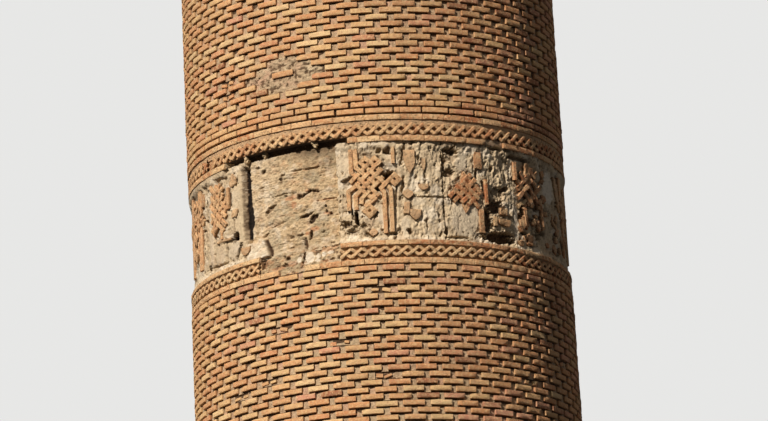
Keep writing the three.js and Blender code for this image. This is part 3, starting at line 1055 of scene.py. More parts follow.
# stretches where the plaster is still smooth: azimuth, h, half width in degrees, half height, paleness
smoothSpots = [
    (-9.6, -0.01, 1.6, 0.04, 0.1), (27, -0.302, 4.4, 0.112), (26.8, 0, 2.2, 0.06), (8.2, -0.36, 1.4, 0.05),
    # painted light: the smooth slab at 65.5 degrees, on the shaded side, is painted nearly white
    (-46.9, -0.13, 2.9, 0.18, 0), (-57, -0.34, 3, 0.045, 0.1), (-61.9, -0.19, 1.5, 0.2), (65.5, -0.04, 4.3, 0.095, 0.9),
    (-50.2, -0.345, 2.8, 0.05), (1.2, -0.29, 1.2, 0.05), (-6.7, -0.27, 1, 0.05), (12.5, -0.22, 2, 0.03),
    (-77, 0.02, 4, 0.05), (46.4, -0.29, 0.9, 0.12, 0.7), (17.8, -0.165, 1.6, 0.035, 0.5),
]
# where a knot lies the plaster behind it is a little deeper, and painted darker between the straps as painted shade,
# less towards the shaded side
knotBeds = [(-1.6, -0.07, 5.6, 0.11), (28.2, -0.15, 4.6, 0.08), (-56.8, -0.1, 4.4, 0.14), (53.0, -0.13, 5.5, 0.19),
            (-75.0, -0.12, 7.5, 0.22)]
plaster = {"swell": 0.003, "furrow": 0.013, "grain": 0.007, "flake": 0.008, "pocket": 0.022, "knotBed": 0.009,
           "ledge": 0.016, "smear": 0.008, "lost": 0.118, "crumb": 0.01, "corner": 0.004, "least": 0.004}


def spots(azimuth, z, rows, ragged=0.3):
    # how much each of a list of ovals covers a point, with ragged rims
    u, v, _, _, grain = onWall(azimuth, z)
    rag = 1 + ragged * (grain(0.03, 0.03, 71, 3, 0.7) + 0.5 * grain(0.013, 0.011, 73, 2))
    for row in rows:
        across = u - math.radians(row[0]) * tower["radius"]
        up = v - row[1] * tower["radius"]
        lean = math.radians(row[5]) if len(row) > 5 else 0
        along = across * math.cos(lean) + up * math.sin(lean)
        over = up * math.cos(lean) - across * math.sin(lean)
        wide, tall = math.radians(row[2]) * tower["radius"], row[3] * tower["radius"]
        yield row, fade(1.15, 0.8, np.sqrt((along / wide) ** 2 + (over / tall) ** 2) * rag)


def plasterRelief(azimuth, z):
    u, v, h, degrees, grain = onWall(around(azimuth), z)
    # the panel left of the lost bay, and those right of it
    isLeft, isRight = degrees < -30, degrees > -30
    kept, white = 0, 0
    for row, cover in spots(around(azimuth), z, smoothSpots):
        kept = np.maximum(kept, cover)
        white = np.maximum(white, cover * (row[4] if len(row) > 4 else 0.3))
    rough = 1 - 0.75 * kept
    depth = tower["plasterDepth"] + plaster["swell"] * grain(0.3, 0.3, 5, 2)
    # furrows that run mostly upright, then grain
    furrows = relief(u / 0.03 + 0.4 * grain(0.1, 0.1, 13, 2), v / 0.095, 11, 3, 0.6)
    depth += rough * plaster["furrow"] * furrows
    depth += rough * plaster["grain"] * grain(0.015, 0.019, 21, 2)
    # flakes: where the finish coat has come off in steps
    flake = fade(0.02, 0.1, grain(0.1, 0.15, 41)) * rough
    depth += plaster["flake"] * flake
    pockets = fade(0.27, 0.42, grain(0.032, 0.055, 51, 4, 0.6)) * rough
    depth += plaster["pocket"] * pockets
    # painted shade in the pockets
    hollow = 0.45 * pockets
    # painted shade between the straps of the knots
    for _, cover in spots(around(azimuth), z, knotBeds):
        depth += plaster["knotBed"] * cover
        hollow = np.maximum(hollow, 0.5 * cover * fade(58, 28, degrees))
    # each hollow is sunk, and painted darker the deeper it is, as painted shade
    for row, cover in spots(around(azimuth), z, hollows, 0.6):
        depth += row[4] * cover
        hollow = np.maximum(hollow, cover * min(1.3, 15 * row[4]))
    # the ledge of mortar along the bottom
    ledge = fade(-0.402, -0.424, h + 0.01 * grain(0.05, 0.05, 61, 3))
    ledge = ledge * (1 - between(20, 22, 44.5, 45.5, degrees))
    depth -= plaster["ledge"] * ledge
    # mortar smeared up to the fillet on the far left
    smear = fade(0.045, 0.075, h + 0.02 * grain(0.05, 0.05, 63, 3))
    smear = smear * np.maximum(fade(-51.5, -53, degrees), 0.5 * between(-12.5, -11, 3, 7, degrees))
    depth += (plaster["smear"] - depth) * smear
    # it thickens under the fillet
    under = fade(0.02, 0.085, h + 0.03 * grain(0.06, 0.06, 64, 3)) * isRight
    depth -= (0.012 + 0.009 * fade(10, 28, degrees) + 0.005 * fade(38, 50, degrees)) * under
    mottle = fade(0.05, 0.45, grain(0.12, 0.1, 81, 3))
    pale = np.clip(white + 0.25 * ledge * fade(48, 36, degrees) + 0.6 * (1 - 0.7 * kept) * mottle, 0, 0.9)
    pale = np.maximum(pale, 0.22 * between(-13.5, -12.5, -8.6, -7.6, degrees) * fade(-0.15, -0.05, h))
    # broken edges towards the lost bay, the left one over a dark crevice; there the side wall and the crevice are
    # painted dark as painted shade, and the pale crumbs on the rim are painted paler as a painted highlight
    gone = fade(-11.6, -12.3, degrees + 1.1 * grain(0.06, 0.045, 91, 4, 0.6)) * isRight
    edge = degrees + 0.35 * grain(0.05, 0.05, 95, 3, 0.6) - 0.5 * fade(-0.22, -0.3, h)
    upright = fade(-0.325, -0.305, h) * fade(0.085, 0.06, h + 0.01 * grain(0.03, 0.03, 96, 2)) * isLeft
    lumps = grain(0.016, 0.014, 97, 2)
    wall = fade(-45.9, -43.7, edge + 0.3 * grain(0.03, 0.06, 98, 3)) * upright
    wallTone = 0.46 + 0.3 * fade(-0.11, -0.05, h) + 0.34 * between(-0.28, -0.23, -0.18, -0.14, h) + 0.4 * lumps
    crumbs = between(-45.5, -45.1, -44.4, -44.0, edge) * fade(0.15, 0.4, lumps) * fade(-0.1, -0.06, h) * upright
    depth += (plaster["lost"] - depth) * np.maximum(gone, wall) - plaster["crumb"] * crumbs
    hollow = np.maximum(hollow, 0.11 * isLeft)
    hollow = np.maximum(hollow, np.clip(wallTone, 0.15, 0.9) * fade(0.04, 0.22, wall))
    hollow = np.maximum(hollow, 1.5 * fade(0.084, 0.097, depth) * upright) * (1 - 0.8 * crumbs)
    pale = np.maximum(pale, 0.8 * crumbs)
    depth += plaster["corner"] * isLeft * fade(-0.32, -0.34, h) * fade(-46, -45, degrees)
    return np.clip(depth, plaster["least"], sheet["deepest"]), pale * (1 - np.clip(hollow, 0, 1)), hollow, flake


coreMarks = [
    (-24.8, -0.143, 1, 0.013, 0.036, 15), (-23.2, -0.137, 1.2, 0.007, 0.032, 25), (-21.3, -0.121, 1, 0.006, 0.028, 35),
    (-19.4, -0.124, 1.3, 0.006, 0.028, -10), (-23, -0.25, 1.4, 0.009, 0.032, 12), (-21.5, -0.243, 1.2, 0.006, 0.02, 20),
    (-20, -0.264, 1.5, 0.014, 0.038, 28), (-20.9, -0.285, 0.8, 0.01, 0.03), (-37.6, 0.032, 0.8, 0.01, 0.026, 25),
    (-30.9, -0.034, 0.35, 0.018, 0.018), (-30.2, -0.013, 0.9, 0.005, 0.015, 10), (-35.5, -0.18, 1.6, 0.012, 0.017, 25),
    (-36.8, -0.196, 0.8, 0.012, 0.015), (-34.5, -0.165, 1.4, 0.006, 0.015, 10), (-16, -0.212, 0.35, 0.008, 0.022),
    (-15.8, -0.24, 0.4, 0.008, 0.022), (-14.5, -0.253, 0.4, 0.006, 0.02), (-25.2, 0.001, 1.4, 0.004, 0.014, 5),
    (-19.7, 0, 2.2, 0.004, 0.016, 3), (-31.2, -0.113, 3.4, 0.003, 0.012, 3), (-29.5, -0.125, 0.6, 0.005, 0.014),
    (-15.6, -0.176, 3, 0.0028, 0.014, 2), (-27.8, -0.348, 0.8, 0.008, 0.02), (-25, -0.345, 1.2, 0.005, 0.018),
    (-21.3, -0.36, 0.5, 0.022, 0.026, -15), (-38.5, -0.05, 1.6, 0.003, 0.012, 8), (-33, 0.108, 8, 0.008, 0.014),
    (-12.1, -0.19, 0.25, 0.005, 0.018), (-14.2, -0.41, 0.7, 0.006, 0.016), (-37.5, -0.31, 1.4, 0.007, 0.012, 20),
    (-17, -0.313, 0.3, 0.012, 0.014), (-29, -0.47, 0.7, 0.01, 0.02), (-40, 0.06, 1.2, 0.006, 0.014),
    (-17.2, -0.345, 0.9, 0.006, 0.014, 15), (-33, -0.27, 2, 0.005, 0.012, 12), (-16.7, -0.439, 1, 0.006, 0.034),
    (-12.9, -0.434, 1.4, 0.006, 0.036, 6), (-22.9, -0.405, 0.5, 0.03, 0.026, 15), (-25.6, -0.41, 2.4, 0.018, 0.01, 10),
]
coreDaubs = [
    (-32.5, 0.058, 1.3, 0.02), (-21.1, -0.035, 1.7, 0.024), (-18.4, -0.036, 1.4, 0.022), (-37, -0.24, 3, 0.02),
    (-27, -0.1, 2, 0.018), (-16, 0.02, 2.4, 0.03), (-24, -0.2, 2.2, 0.02),
]
coreReds = [
    (-19.9, -0.326, 1.4, 0.014), (-21.8, -0.116, 1, 0.006), (-26.8, -0.18, 0.9, 0.02), (-15.6, -0.177, 2.6, 0.004),
    (-15.5, -0.25, 1.2, 0.008), (-26, -0.49, 1.6, 0.012), (-22.3, -0.345, 0.8, 0.01), (-28, -0.14, 2.2, 0.012),
]
core = {"face": 0.093, "swell": 0.008, "stroke": 0.009, "lump": 0.012, "grain": 0.007, "joint": 0.008, "mark": 1.3,
        "daub": 0.010, "rim": 0.007, "corner": 0.056, "slope": 0.034, "least": 0.02}


def coreRelief(azimuth, z):
    u, v, h, degrees, grain = onWall(azimuth, z)
    # daubed mortar: soft lumps, short strokes that rise to the right, and grain
    strokes = relief((u + 0.5 * v) / 0.06 + grain(0.1, 0.1, 103, 2), (v - 0.5 * u) / 0.034, 111, 4, 0.6)
    lumps = grain(0.045, 0.038, 117, 4, 0.65)
    fine = grain(0.017, 0.014, 121, 2)
    depth = core["face"] + core["swell"] * grain(0.2, 0.18, 101, 2) + core["stroke"] * strokes + core["lump"] * lumps
    depth += core["grain"] * fine
    # painted shade where the strokes, lumps and grain sink
    hollow = 0.25 * fade(0.25, 0.55, strokes) + 0.3 * fade(0.2, 0.5, lumps) + 0.22 * fade(0.3, 0.7, fine)
    # faint joints of the courses behind
    wave = h / -courses["lower"]["rise"] + 0.35 * grain(0.25, 0.25, 131, 2)
    course = np.abs(wave % 1 - 0.5)
    seen = fade(0.0, 0.3, grain(0.13, 0.09, 141, 3))
    depth += core["joint"] * fade(0.38, 0.5, course) * seen
    hollow = np.maximum(hollow, 0.35 * fade(0.4, 0.5, course) * seen)
    pale = 0.35 * fade(0.05, 0.5, grain(0.07, 0.06, 145, 3)) + 0.12 * fade(-28, -35, degrees)
    # marks are sunk, and painted darker the deeper they are, as painted shade
    for row, cover in spots(azimuth, z, coreMarks, 0.5):
        depth += core["mark"] * row[4] * cover
        hollow = np.maximum(hollow, cover * min(1.2, row[4] / 0.025))
    # each daub has a sunk rim that is painted darker, as painted shade
    for row, cover in spots(azimuth, z, coreDaubs, 0.4):
        rim = 4 * cover * (1 - cover)
        depth += core["rim"] * rim - core["daub"] * cover
        hollow = np.maximum(hollow, 0.3 * rim)
    red = 0.25 * fade(0.15, 0.5, grain(0.06, 0.03, 147, 3))
    for row, cover in spots(azimuth, z, coreReds, 0.6):
        red = np.maximum(red, 0.7 * cover)
    # the crevice on the left, painted black as painted shade, and painted shade under the chain
    edge = degrees + 0.5 * grain(0.05, 0.06, 151, 3)
    bulge = 0.6 * np.exp(-((h + 0.19) / 0.05) ** 2)
    crevice = fade(-42.6, -43.2, edge - bulge) * between(-0.325, -0.305, 0.06, 0.085, h)
    depth += (sheet["deepest"] - depth) * crevice
    hollow = np.maximum(hollow, 1.5 * crevice)
    shadeUnderChain = fade(0.03, 0.1, h + 0.02 * grain(0.1, 0.1, 153, 2)) * fade(-36, -24, degrees)
    shadeUnderChain += 0.55 * fade(-0.08, 0.0, h + 0.05 * grain(0.1, 0.1, 155, 2)) * fade(-28, -21, degrees)
    # what is left of the plaster in the lower left corner
    corner = fade(-0.325, -0.345, h + 0.02 * grain(0.06, 0.05, 161, 3)) * fade(-0.437, -0.431, h)
    across = degrees + 0.25 * grain(0.05, 0.06, 151, 3) + 25 * (h + 0.426)
    side = fade(-34.9, -35.3, across)
    rim = corner * fade(-34.0, -34.4, across) * (1 - side)
    corner = corner * side
    depth += core["daub"] * 0.4 * corner * grain(0.02, 0.02, 163, 2) - core["corner"] * corner
    pale = np.maximum(pale, corner * (0.45 + 0.5 * fade(-0.1, 0.4, grain(0.05, 0.05, 165, 3))))
    # mortar that slopes out along the bottom
    slope = fade(-0.39, -0.435, h + 0.014 * grain(0.06, 0.06, 171, 3))
    depth -= core["slope"] * slope
    pale = np.maximum(pale, 0.2 * slope)
    # painted shade: the step down on the right of the plaster corner is painted black
    hollow = np.maximum(hollow * (1 - corner), 1.2 * rim)
    # painted shade under the chain, and a little darker towards the bottom
    hollow = np.maximum(hollow, 0.48 * shadeUnderChain + 0.06 * fade(-0.3, -0.36, h) * (1 - corner))
    return np.clip(depth, core["least"], sheet["deepest"]), pale * (1 - np.clip(hollow, 0, 1)), hollow, red


# where the lower chain and its fillet are lost
debris = {
    "holes": [
        (-37.8, -0.48, 0.6, 0.016, 0.05), (-29, -0.469, 0.9, 0.01, 0.03), (-23.3, -0.48, 0.28, 0.036, 0.04, -6),
        (-29.6, -0.5, 0.8, 0.01, 0.025), (-14.2, -0.505, 0.7, 0.006, 0.02), (-11.8, -0.5, 0.6, 0.006, 0.02, 20),
        (-33.5, -0.49, 1.8, 0.02, 0.014), (-30, -0.452, 0.5, 0.007, 0.02, 20), (-31.5, -0.5, 0.5, 0.01, 0.02, 30),
        (-17.9, -0.485, 0.3, 0.014, 0.02, 20),
    ],
    "white": [
        (-21.4, -0.483, 1.6, 0.032), (-18.6, -0.48, 0.7, 0.014), (-16.9, -0.474, 0.7, 0.012),
        (-24.7, -0.484, 0.8, 0.018), (-14.8, -0.466, 1, 0.01), (-18.7, -0.503, 1, 0.008), (-14.6, -0.424, 3, 0.007),
    ],
    "red": [
        (-36.8, -0.468, 0.8, 0.034), (-27, -0.5, 1.7, 0.016), (-32, -0.51, 3, 0.012), (-16, -0.51, 1.6, 0.008),
    ],
    "span": (-38.3, -10.6),
    "above": (0.004, 0.035),    # the foot of the fillet, and the foot of the field
    "top": -0.425,         # height of its upper edge, ragged
    "face": 0.06,
    "lump": 0.024,
    "grain": 0.008,
    "least": 0.012,
}


def debrisRelief(azimuth, z):
    _, _, h, degrees, grain = onWall(azimuth, z)
    lumps = grain(0.055, 0.036, 201, 4, 0.65)
    depth = debris["face"] - 0.036 * fade(-0.43, -0.525, h)
    depth += debris["lump"] * lumps + debris["grain"] * grain(0.018, 0.018, 211, 2)
    depth += fade(-0.524, -0.53, h) * (0.004 - 0.3 * (depth - 0.024))
    # painted shade between the lumps and in the holes, darker the deeper they are, and a little darker all over
    hollow = 0.14 + 0.7 * fade(0.12, 0.4, lumps)
    for row, cover in spots(azimuth, z, debris["holes"], 0.5):
        depth += row[4] * cover
        hollow = np.maximum(hollow, cover * min(1, row[4] / 0.03) * 0.9)
    white, red = 0, 0
    for row, cover in spots(azimuth, z, debris["white"], 0.35):
        white = np.maximum(white, cover)
        depth += 0.6 * (0.032 - depth) * cover
        hollow = hollow * (1 - 0.8 * cover)
    for row, cover in spots(azimuth, z, debris["red"], 0.5):
        red = np.maximum(red, cover * 0.6)
    pale = fade(0.0, 0.5, grain(0.06, 0.05, 221, 3)) * 0.3
    pale = np.clip(0.85 * white + pale, 0, 1) * fade(-36, -30, degrees)
    red = np.maximum(red, 0.5 * fade(0.1, 0.5, grain(0.07, 0.03, 225, 3)))
    # its upper edge sinks behind the core and the plaster
    depth += 0.08 * fade(debris["top"] - 0.012, debris["top"], h + 0.016 * grain(0.05, 0.05, 231, 3))
    return np.clip(depth, debris["least"], sheet["deepest"]), pale * (1 - hollow), hollow, red


# mortar left where bricks have fallen
bare = {
    "holes": [
        (-23.2, 0.515, 0.5, 0.012), (-23, 0.488, 0.35, 0.016), (-19.5, 0.548, 1, 0.006), (-16.5, 0.548, 1.4, 0.005),
        (-27.5, 0.56, 1.2, 0.005),
    ],
    "span": (-42.5, -12),
    "rows": (0.41, 0.612),
    "share": 0.62,         # of a course, either side of a fallen row
    "face": 0.026,
    "sunk": 0.011,
    "lump": 0.009,
    "grain": 0.004,
    "pit": 0.009,
}


def bareRelief(azimuth, z):
    _, _, h, degrees, grain = onWall(azimuth, z)
    seen = 0
    rag = 0.5 * grain(0.05, 0.04, 301, 3)
    for row, low, high in patch:
        side = between(low - 1.2, low + 0.4, high - 0.4, high + 1.2, degrees + rag)
        seen = np.maximum(seen, side * (np.abs(h - row) < courses["upper"]["rise"] * bare["share"]))
    lumps = grain(0.05, 0.03, 311, 4, 0.6)
    depth = bare["face"] - seen * (bare["sunk"] + bare["lump"] * lumps + bare["grain"] * grain(0.016, 0.014, 315, 2))
    pale = 0.2 + 0.7 * fade(0.0, 0.5, grain(0.1, 0.08, 321, 3))
    # painted shade in dark pits, which are also sunk, and in the cavities by the bricks
    hollow = 0.9 * fade(0.1, 0.42, grain(0.035, 0.025, 331, 3))
    for row, cover in spots(azimuth, z, bare["holes"], 0.5):
        hollow = np.maximum(hollow, 0.9 * cover)
    return depth + bare["pit"] * hollow * seen, pale, hollow, 0


def fieldSheet(name, left, right, bottom, top, cell, reliefOf, finish, *nodes, slotName=None):
    # edges in degrees and metres; the rim is turned back into the wall
    left, right = math.radians(left), math.radians(right)
    middle = Matrix.Translation(((left + right) / 2, 0, (bottom + top) / 2))
    size = Matrix.Diagonal((right - left, 1, top - bottom, 1))
    bm = bmesh.new()
    bmesh.ops.create_grid(bm, x_segments=round((right - left) * tower["radius"] / cell),
                          y_segments=round((top - bottom) / cell), size=0.5,
                          matrix=middle @ size @ Matrix.Rotation(math.pi / 2, 4, "X"))
    for vert in newVerts(bmesh.ops.extrude_edge_only(bm, edges=[e for e in bm.edges if e.is_boundary])):
        vert.co.y = 1
    mesh = writeMesh(bm)
    azimuth, sunk, z = readPoints(mesh).T
    depth, pale, hollow, red = reliefOf(azimuth, z)
    depth = np.where(sunk > 0.5, np.maximum(depth + 0.001, sheet["rim"]), depth)
    mesh.vertices.foreach_set("co", ontoWall(azimuth, z, depth).ravel())
    mark(mesh, pale=pale, hollow=hollow, red=red)
    mesh.update()
    addPiece(name, mesh, finish, *nodes, slotName=slotName, sharp=70)


# lumps of mortar that bridge the slot of the lost fillet: azimuth, width and depth in metres
slot = {
    "bridges": [(-43.2, 0.05, 0.04), (-36.4, 0.03, 0.07), (-18.3, 0.035, 0.045)],
    "height": 15.812,
    "lumps": 7,            # in each
}


def layLumps():
    lumps = [[random.randrange(brick["forms"]), math.radians(azimuth), random.uniform(-0.5, 0.5) * wide,
              faceRadius(15.8) - deep + random.uniform(-0.012, 0.012), 0,
              slot["height"] + random.uniform(-0.024, 0.024), random.uniform(0.08, 0.16), random.uniform(0.4, 0.75),
              random.uniform(-0.9, 0.9), 0] for azimuth, wide, deep in slot["bridges"] for _ in range(slot["lumps"])]
    addPiece("slot_mortar", layForms(fineBricks, lumps), "rubble")


def layField():
    pitch = 360 / sheet["bays"]
    bottom, top = field["bottom"], field["top"]
    for bay in range(sheet["bays"] - 1):
        middle = sheet["firstBay"] + pitch * bay
        left = middle - pitch / 2 if bay else sheet["coreRight"] - sheet["overlap"]
        node = f"knot_panel_{bay + 1:02d}"
        fieldSheet(node + "_plaster", left, middle + pitch / 2, bottom, top,
                   sheet["fine" if bay in sheet["fineBays"] else "coarse"], plasterRelief, "plaster", node)
    fieldSheet("lost_bay_core", sheet["firstBay"] - 1.5 * pitch, sheet["coreRight"] + sheet["overlap"], bottom - 0.03,
               top, sheet["fine"], coreRelief, "rubble", "bare_core_patch")
    fieldSheet("lost_chain_debris", *debris["span"], rings["lower_band_bottom_fillet"]["bottom"] + debris["above"][0],
               bottom + debris["above"][1], sheet["rough"], debrisRelief, "rubble")
    fieldSheet("fallen_bricks_mortar", *bare["span"], *(atHeight(h) for h in bare["rows"]), sheet["rough"], bareRelief,
               "joint", slotName="brick")
    layLumps()


layField()
print("field pressed")

# knots: strands through the crossings of the plait, as (right, down) in units of the plait.
# No letter is copied: only the plait, its loops, plain uprights and small leaves.
mainKnot = [
    [(-4, -6.1), (-4, -1), (1, 4), (1.6, 4.6)], [(-3, -6.1), (-3, -2), (1.2, 2.2)],
    [(2.1, 3.1), (2.67, 3.7), (2.67, 13.0)], [(2.2, -0.8), (-1, -4), (-2, -3), (4.1, 3.1), (4.1, 12.7)],
    [(-4.4, 1.4), (1, -4), (2, -3), (-3, 2), (-4.8, 3.3), (-4.8, 7.5)],
    [(2.5, -1.5), (-2, 3), (-3.3, 4.3), (-3.3, 7.4)], [(2.6, 0.4), (-1, 4), (-2, 5), (-2.2, 6.2)],
    [(-3.4, 1.6), (0, 5), (0.8, 4.2)], [(1.8, 3.2), (4, 1), (5, 0), (6, 1), (5, 2), (4, 1)],
    [(-0.55, 6.7), (0.5, 7.8), (-0.55, 8.9), (-1.6, 7.8), (-0.55, 6.7)], [(1.0, 4.9), (-1.5, 6.9)],
    [(4.9, -6.2), (4.9, -2.6)],
]
wholeKnot = [
    [(-4, -6), (-4, -1), (1, 4), (2, 5), (2, 8)], [(4, -6), (4, -1), (-1, 4), (-2, 5), (-2, 8)],
    [(-3, -6), (-3, -2), (2, 3), (3, 4), (3, 12)], [(3, -6), (3, -2), (-2, 3), (-3, 4), (-3, 12)],
    [(4, 1), (-1, -4), (-2, -3), (4.1, 3.1), (4.1, 12)], [(-4, 1), (1, -4), (2, -3), (-4.1, 3.1), (-4.1, 12)],
    [(-5, 0), (0, 5), (5, 0), (6, 1), (5, 2), (4, 1)], [(-4, 1), (-5, 2), (-6, 1), (-5, 0)],
    [(0, 6.6), (1.1, 7.7), (0, 8.8), (-1.1, 7.7), (0, 6.6)],
]
leftKnot = [
    [(-3.3, -5.3), (3, 1), (-2, 6)], [(2, -4), (-3, 1), (2, 6)], [(-1, -5), (2, -2)], [(3, 0), (3, -1), (-3, 5)],
    [(1, -5), (-3, -1), (3, 5)], [(-3, -3), (3, 3)], [(2, -2), (-3, 3)], [(3.9, -3.4), (3.9, 1.4)],
    [(1.2, 4.6), (1.2, 7.6)],
]
ruinKnot = [
    [(-3, 0), (0, 3), (3, 0), (0, -3), (-3, 0)], [(-4, 1), (1, -4), (2.4, -2.6)], [(-3, -3), (3, 3)],
    [(4, -1), (-1, 4)], [(-4, -1), (1, 4)], [(3, -4), (-4, 3)], [(-4.6, -5), (-4.6, -1)], [(4.4, 2), (4.4, 8)],
    [(-2, 5), (-2, 9)],
]
smallKnot = [
    [(-3, 0), (0, 3), (3, 0), (0, -3), (-3, 0)], [(-2.5, -1.5), (1, 2), (2.5, 3.5)], [(-1, -2), (2.6, 1.6)],
    [(-4.4, 1.6), (1, -3.8)], [(-3.4, 2.6), (2, -2.8)], [(-1.6, 2.8), (2.6, -1.4)],
    [(4.6, -3), (4.6, 2.6)],
]
# loose ornaments: azimuth, h, kind, width, height, lean in degrees, tone
ornaments = [
    (10.3, -0.015, "leaf", 0.115, 0.235, 0, 0.35), (9.4, -0.186, "lozenge", 0.105, 0.105, 0, 0.4),
    (8.8, -0.262, "bar", 0.058, 0.12, -8, 0.5), (11.4, -0.296, "cup", 0.115, 0.1, 0, 0.45),
    (14.2, -0.150, "cup", 0.1, 0.062, 0, 0.55), (14.6, -0.03, "leaf", 0.035, 0.12, 0, 0.1),
    (-1.5, -0.385, "lozenge", 0.09, 0.08, 0, 0.5), (27.3, -0.085, "leaf", 0.08, 0.12, 180, 0.7),
    (27.4, -0.238, "leaf", 0.08, 0.15, 0, 0.6), (32.4, 0.012, "bar", 0.085, 0.165, 0, 0.75),
    (32.6, -0.312, "bar", 0.056, 0.235, 0, 0.7), (41.0, -0.245, "bar", 0.085, 0.07, 0, 0.6),
    (41.2, -0.305, "cup", 0.17, 0.075, 0, 0.5), (37.7, -0.303, "bar", 0.04, 0.09, 0, 0.2),
    (52.4, 0.012, "bar", 0.07, 0.12, 0, 0.6), (49.0, -0.292, "cup", 0.085, 0.1, 0, 0.6),
    (54.2, 0.0, "leaf", 0.085, 0.13, 0, 0.8), (-48.8, 0.020, "leaf", 0.12, 0.1, 60, 0.4),
    (-44.2, -0.373, "cup", 0.13, 0.075, 0, 0.5), (-68.6, 0.0, "bar", 0.15, 0.13, 0, 0.95),
    (-54.5, -0.276, "bar", 0.24, 0.022, -3, 0.3), (-48.6, -0.154, "lozenge", 0.12, 0.085, 30, 0.3),
    (2.2, -0.285, "leaf", 0.05, 0.12, 0, 0.15), (49.2, -0.178, "bar", 0.17, 0.038, 33, 0.0),
    (50.8, -0.273, "leaf", 0.08, 0.11, 20, 0.85), (52.2, -0.36, "cup", 0.11, 0.08, 0, 0.7),
]
# bays where only crumbs of the knots hang on: azimuths, heights and how many
crumbled = {2: (47.5, 62, -0.41, 0.02, 34), 3: (66, 76, -0.4, -0.12, 14)}
strapCut = {
    "width": 0.0415,
    "upright": 0.0345,
    "face": 0.0135,        # depth of a strap's face behind the bricks
    "root": 0.034,
    "edge": 0.005,
    "weave": 0.007,
    "worn": 0.0018,
    "chipped": 0.0035,
    "sunk": 0.006,         # of the ornaments behind the straps
    "astray": 0.035,       # of a crossing, in units of the plait
    "smallDrop": -0.14,    # of the small knot
    "ornamentDust": 0.7,
}


def walkPlait(corners):
    # adds the crossings along each sloping run; a strand goes over at every other one
    line = []
    for (x0, y0), (x1, y1) in zip(corners, corners[1:]):
        sloping = abs(abs(x1 - x0) - abs(y1 - y0)) < 0.05
        falling = (x1 - x0) * (y1 - y0) > 0
        steps = max(1, round(abs(x1 - x0))) if sloping else 1
        for k in range(steps):
            x, y = x0 + (x1 - x0) * k / steps, y0 + (y1 - y0) * k / steps
            over = (round(x) % 2 == 0) == falling
            line.append((x, y, (-1 if over else 1) * strapCut["weave"] if sloping and k else 0))
    line.append((*corners[-1], 0))
    shift = [(random.uniform(-1, 1) * strapCut["astray"], random.uniform(-1, 1) * strapCut["astray"]) for _ in line]
    if corners[0] == corners[-1]:
        shift[-1] = shift[0]
    return [((x + dx) * sheet["unit"][0], -(y + dy) * sheet["unit"][1], lift)
            for (x, y, lift), (dx, dy) in zip(line, shift)]


def breakUp(line, kept):
    # what is left of a strand: runs between the crossings that have fallen
    runs = [[line[0]]]
    for point in line[1:]:
        if random.random() > kept:
            runs.append([])
        runs[-1].append(point)
    return [run for run in runs if len(run) > 1]


def paint(bm, verts, **values):
    for key, value in values.items():
        layer = bm.verts.layers.float[key]
        for vert in verts:
            vert[layer] = value


def addStrap(bm, line, width, tone, dust, drop):
    before = set(bm.verts)
    strap(bm, [(x, z + drop, lift) for x, z, lift in line], width, strapCut["root"], strapCut["edge"])
    paint(bm, set(bm.verts) - before, tone=tone, dust=dust)


ornamentOutlines = {
    "leaf": [(-0.5, 0.5), (0.5, 0.5), (0.5, 0.1), (0.36, -0.2), (0, -0.5), (-0.36, -0.2), (-0.5, 0.1)],
    "lozenge": [(0, 0.5), (0.42, 0.2), (0.5, 0), (0.42, -0.2), (0, -0.5), (-0.42, -0.2), (-0.5, 0), (-0.42, 0.2)],
    "bar": [(-0.5, 0.5), (0.5, 0.5), (0.5, -0.5), (-0.5, -0.5)],
    "cup": [(-0.5, 0.5), (0.5, 0.5), (0.46, -0.05), (0.3, -0.38), (0, -0.5), (-0.3, -0.38), (-0.46, -0.05)],
}


def addOrnament(bm, kind, wide, tall, lean, tone, dust, shift):
    # a flat cut piece with eased edges
    before = set(bm.verts)
    turn = Matrix.Rotation(math.radians(lean), 2)
    corners = [turn @ Vector((x * wide, z * tall)) for x, z in ornamentOutlines[kind]]
    outline = []
    for here, there in zip(corners, corners[1:] + corners[:1]):
        parts = max(1, round((there - here).length / 0.03))
        outline += [here.lerp(there, part / parts) for part in range(parts)]
    rough = [Vector((random.uniform(-1, 1), random.uniform(-1, 1))) * strapCut["chipped"] for _ in outline]
    face = bm.faces.new([bm.verts.new((point.x + off.x + shift[0], 0, point.y + off.y + shift[1]))
                         for point, off in zip(outline, rough)])
    root = newVerts(bmesh.ops.extrude_face_region(bm, geom=[face]))
    bmesh.ops.translate(bm, verts=root, vec=(0, strapCut["root"], 0))
    ease(bm, [e for e in bm.edges if e.calc_length() > 0 and all(v in face.verts for v in e.verts)], strapCut["edge"])
    for vert in set(bm.verts) - before:
        vert.co.y += strapCut["sunk"]
    paint(bm, set(bm.verts) - before, tone=tone, dust=dust)


def finishKnot(bm, name, centre, sunk, worn):
    bmesh.ops.remove_doubles(bm, verts=bm.verts, dist=1e-6)
    bmesh.ops.recalc_face_normals(bm, faces=bm.faces)
    for vert in bm.verts:
        if vert.co.y < strapCut["root"] - 0.002:
            for axis, share in enumerate((1, 1.5, 1)):
                vert.co[axis] += random.uniform(-1, 1) * worn * share
    mesh = writeMesh(bm)
    across, depth, up = readPoints(mesh).T
    points = ontoWall(math.radians(centre) + across / tower["radius"], sheet["knotHeight"] + up,
                      strapCut["face"] + sunk + depth)
    mesh.vertices.foreach_set("co", points.ravel())
    # painted shade on the sides of the straps, the deeper the darker
    mark(mesh, deep=np.clip((depth - 0.006) / 0.016, 0, 1))
    mesh.update()
    addPiece(name, mesh, "terracotta")


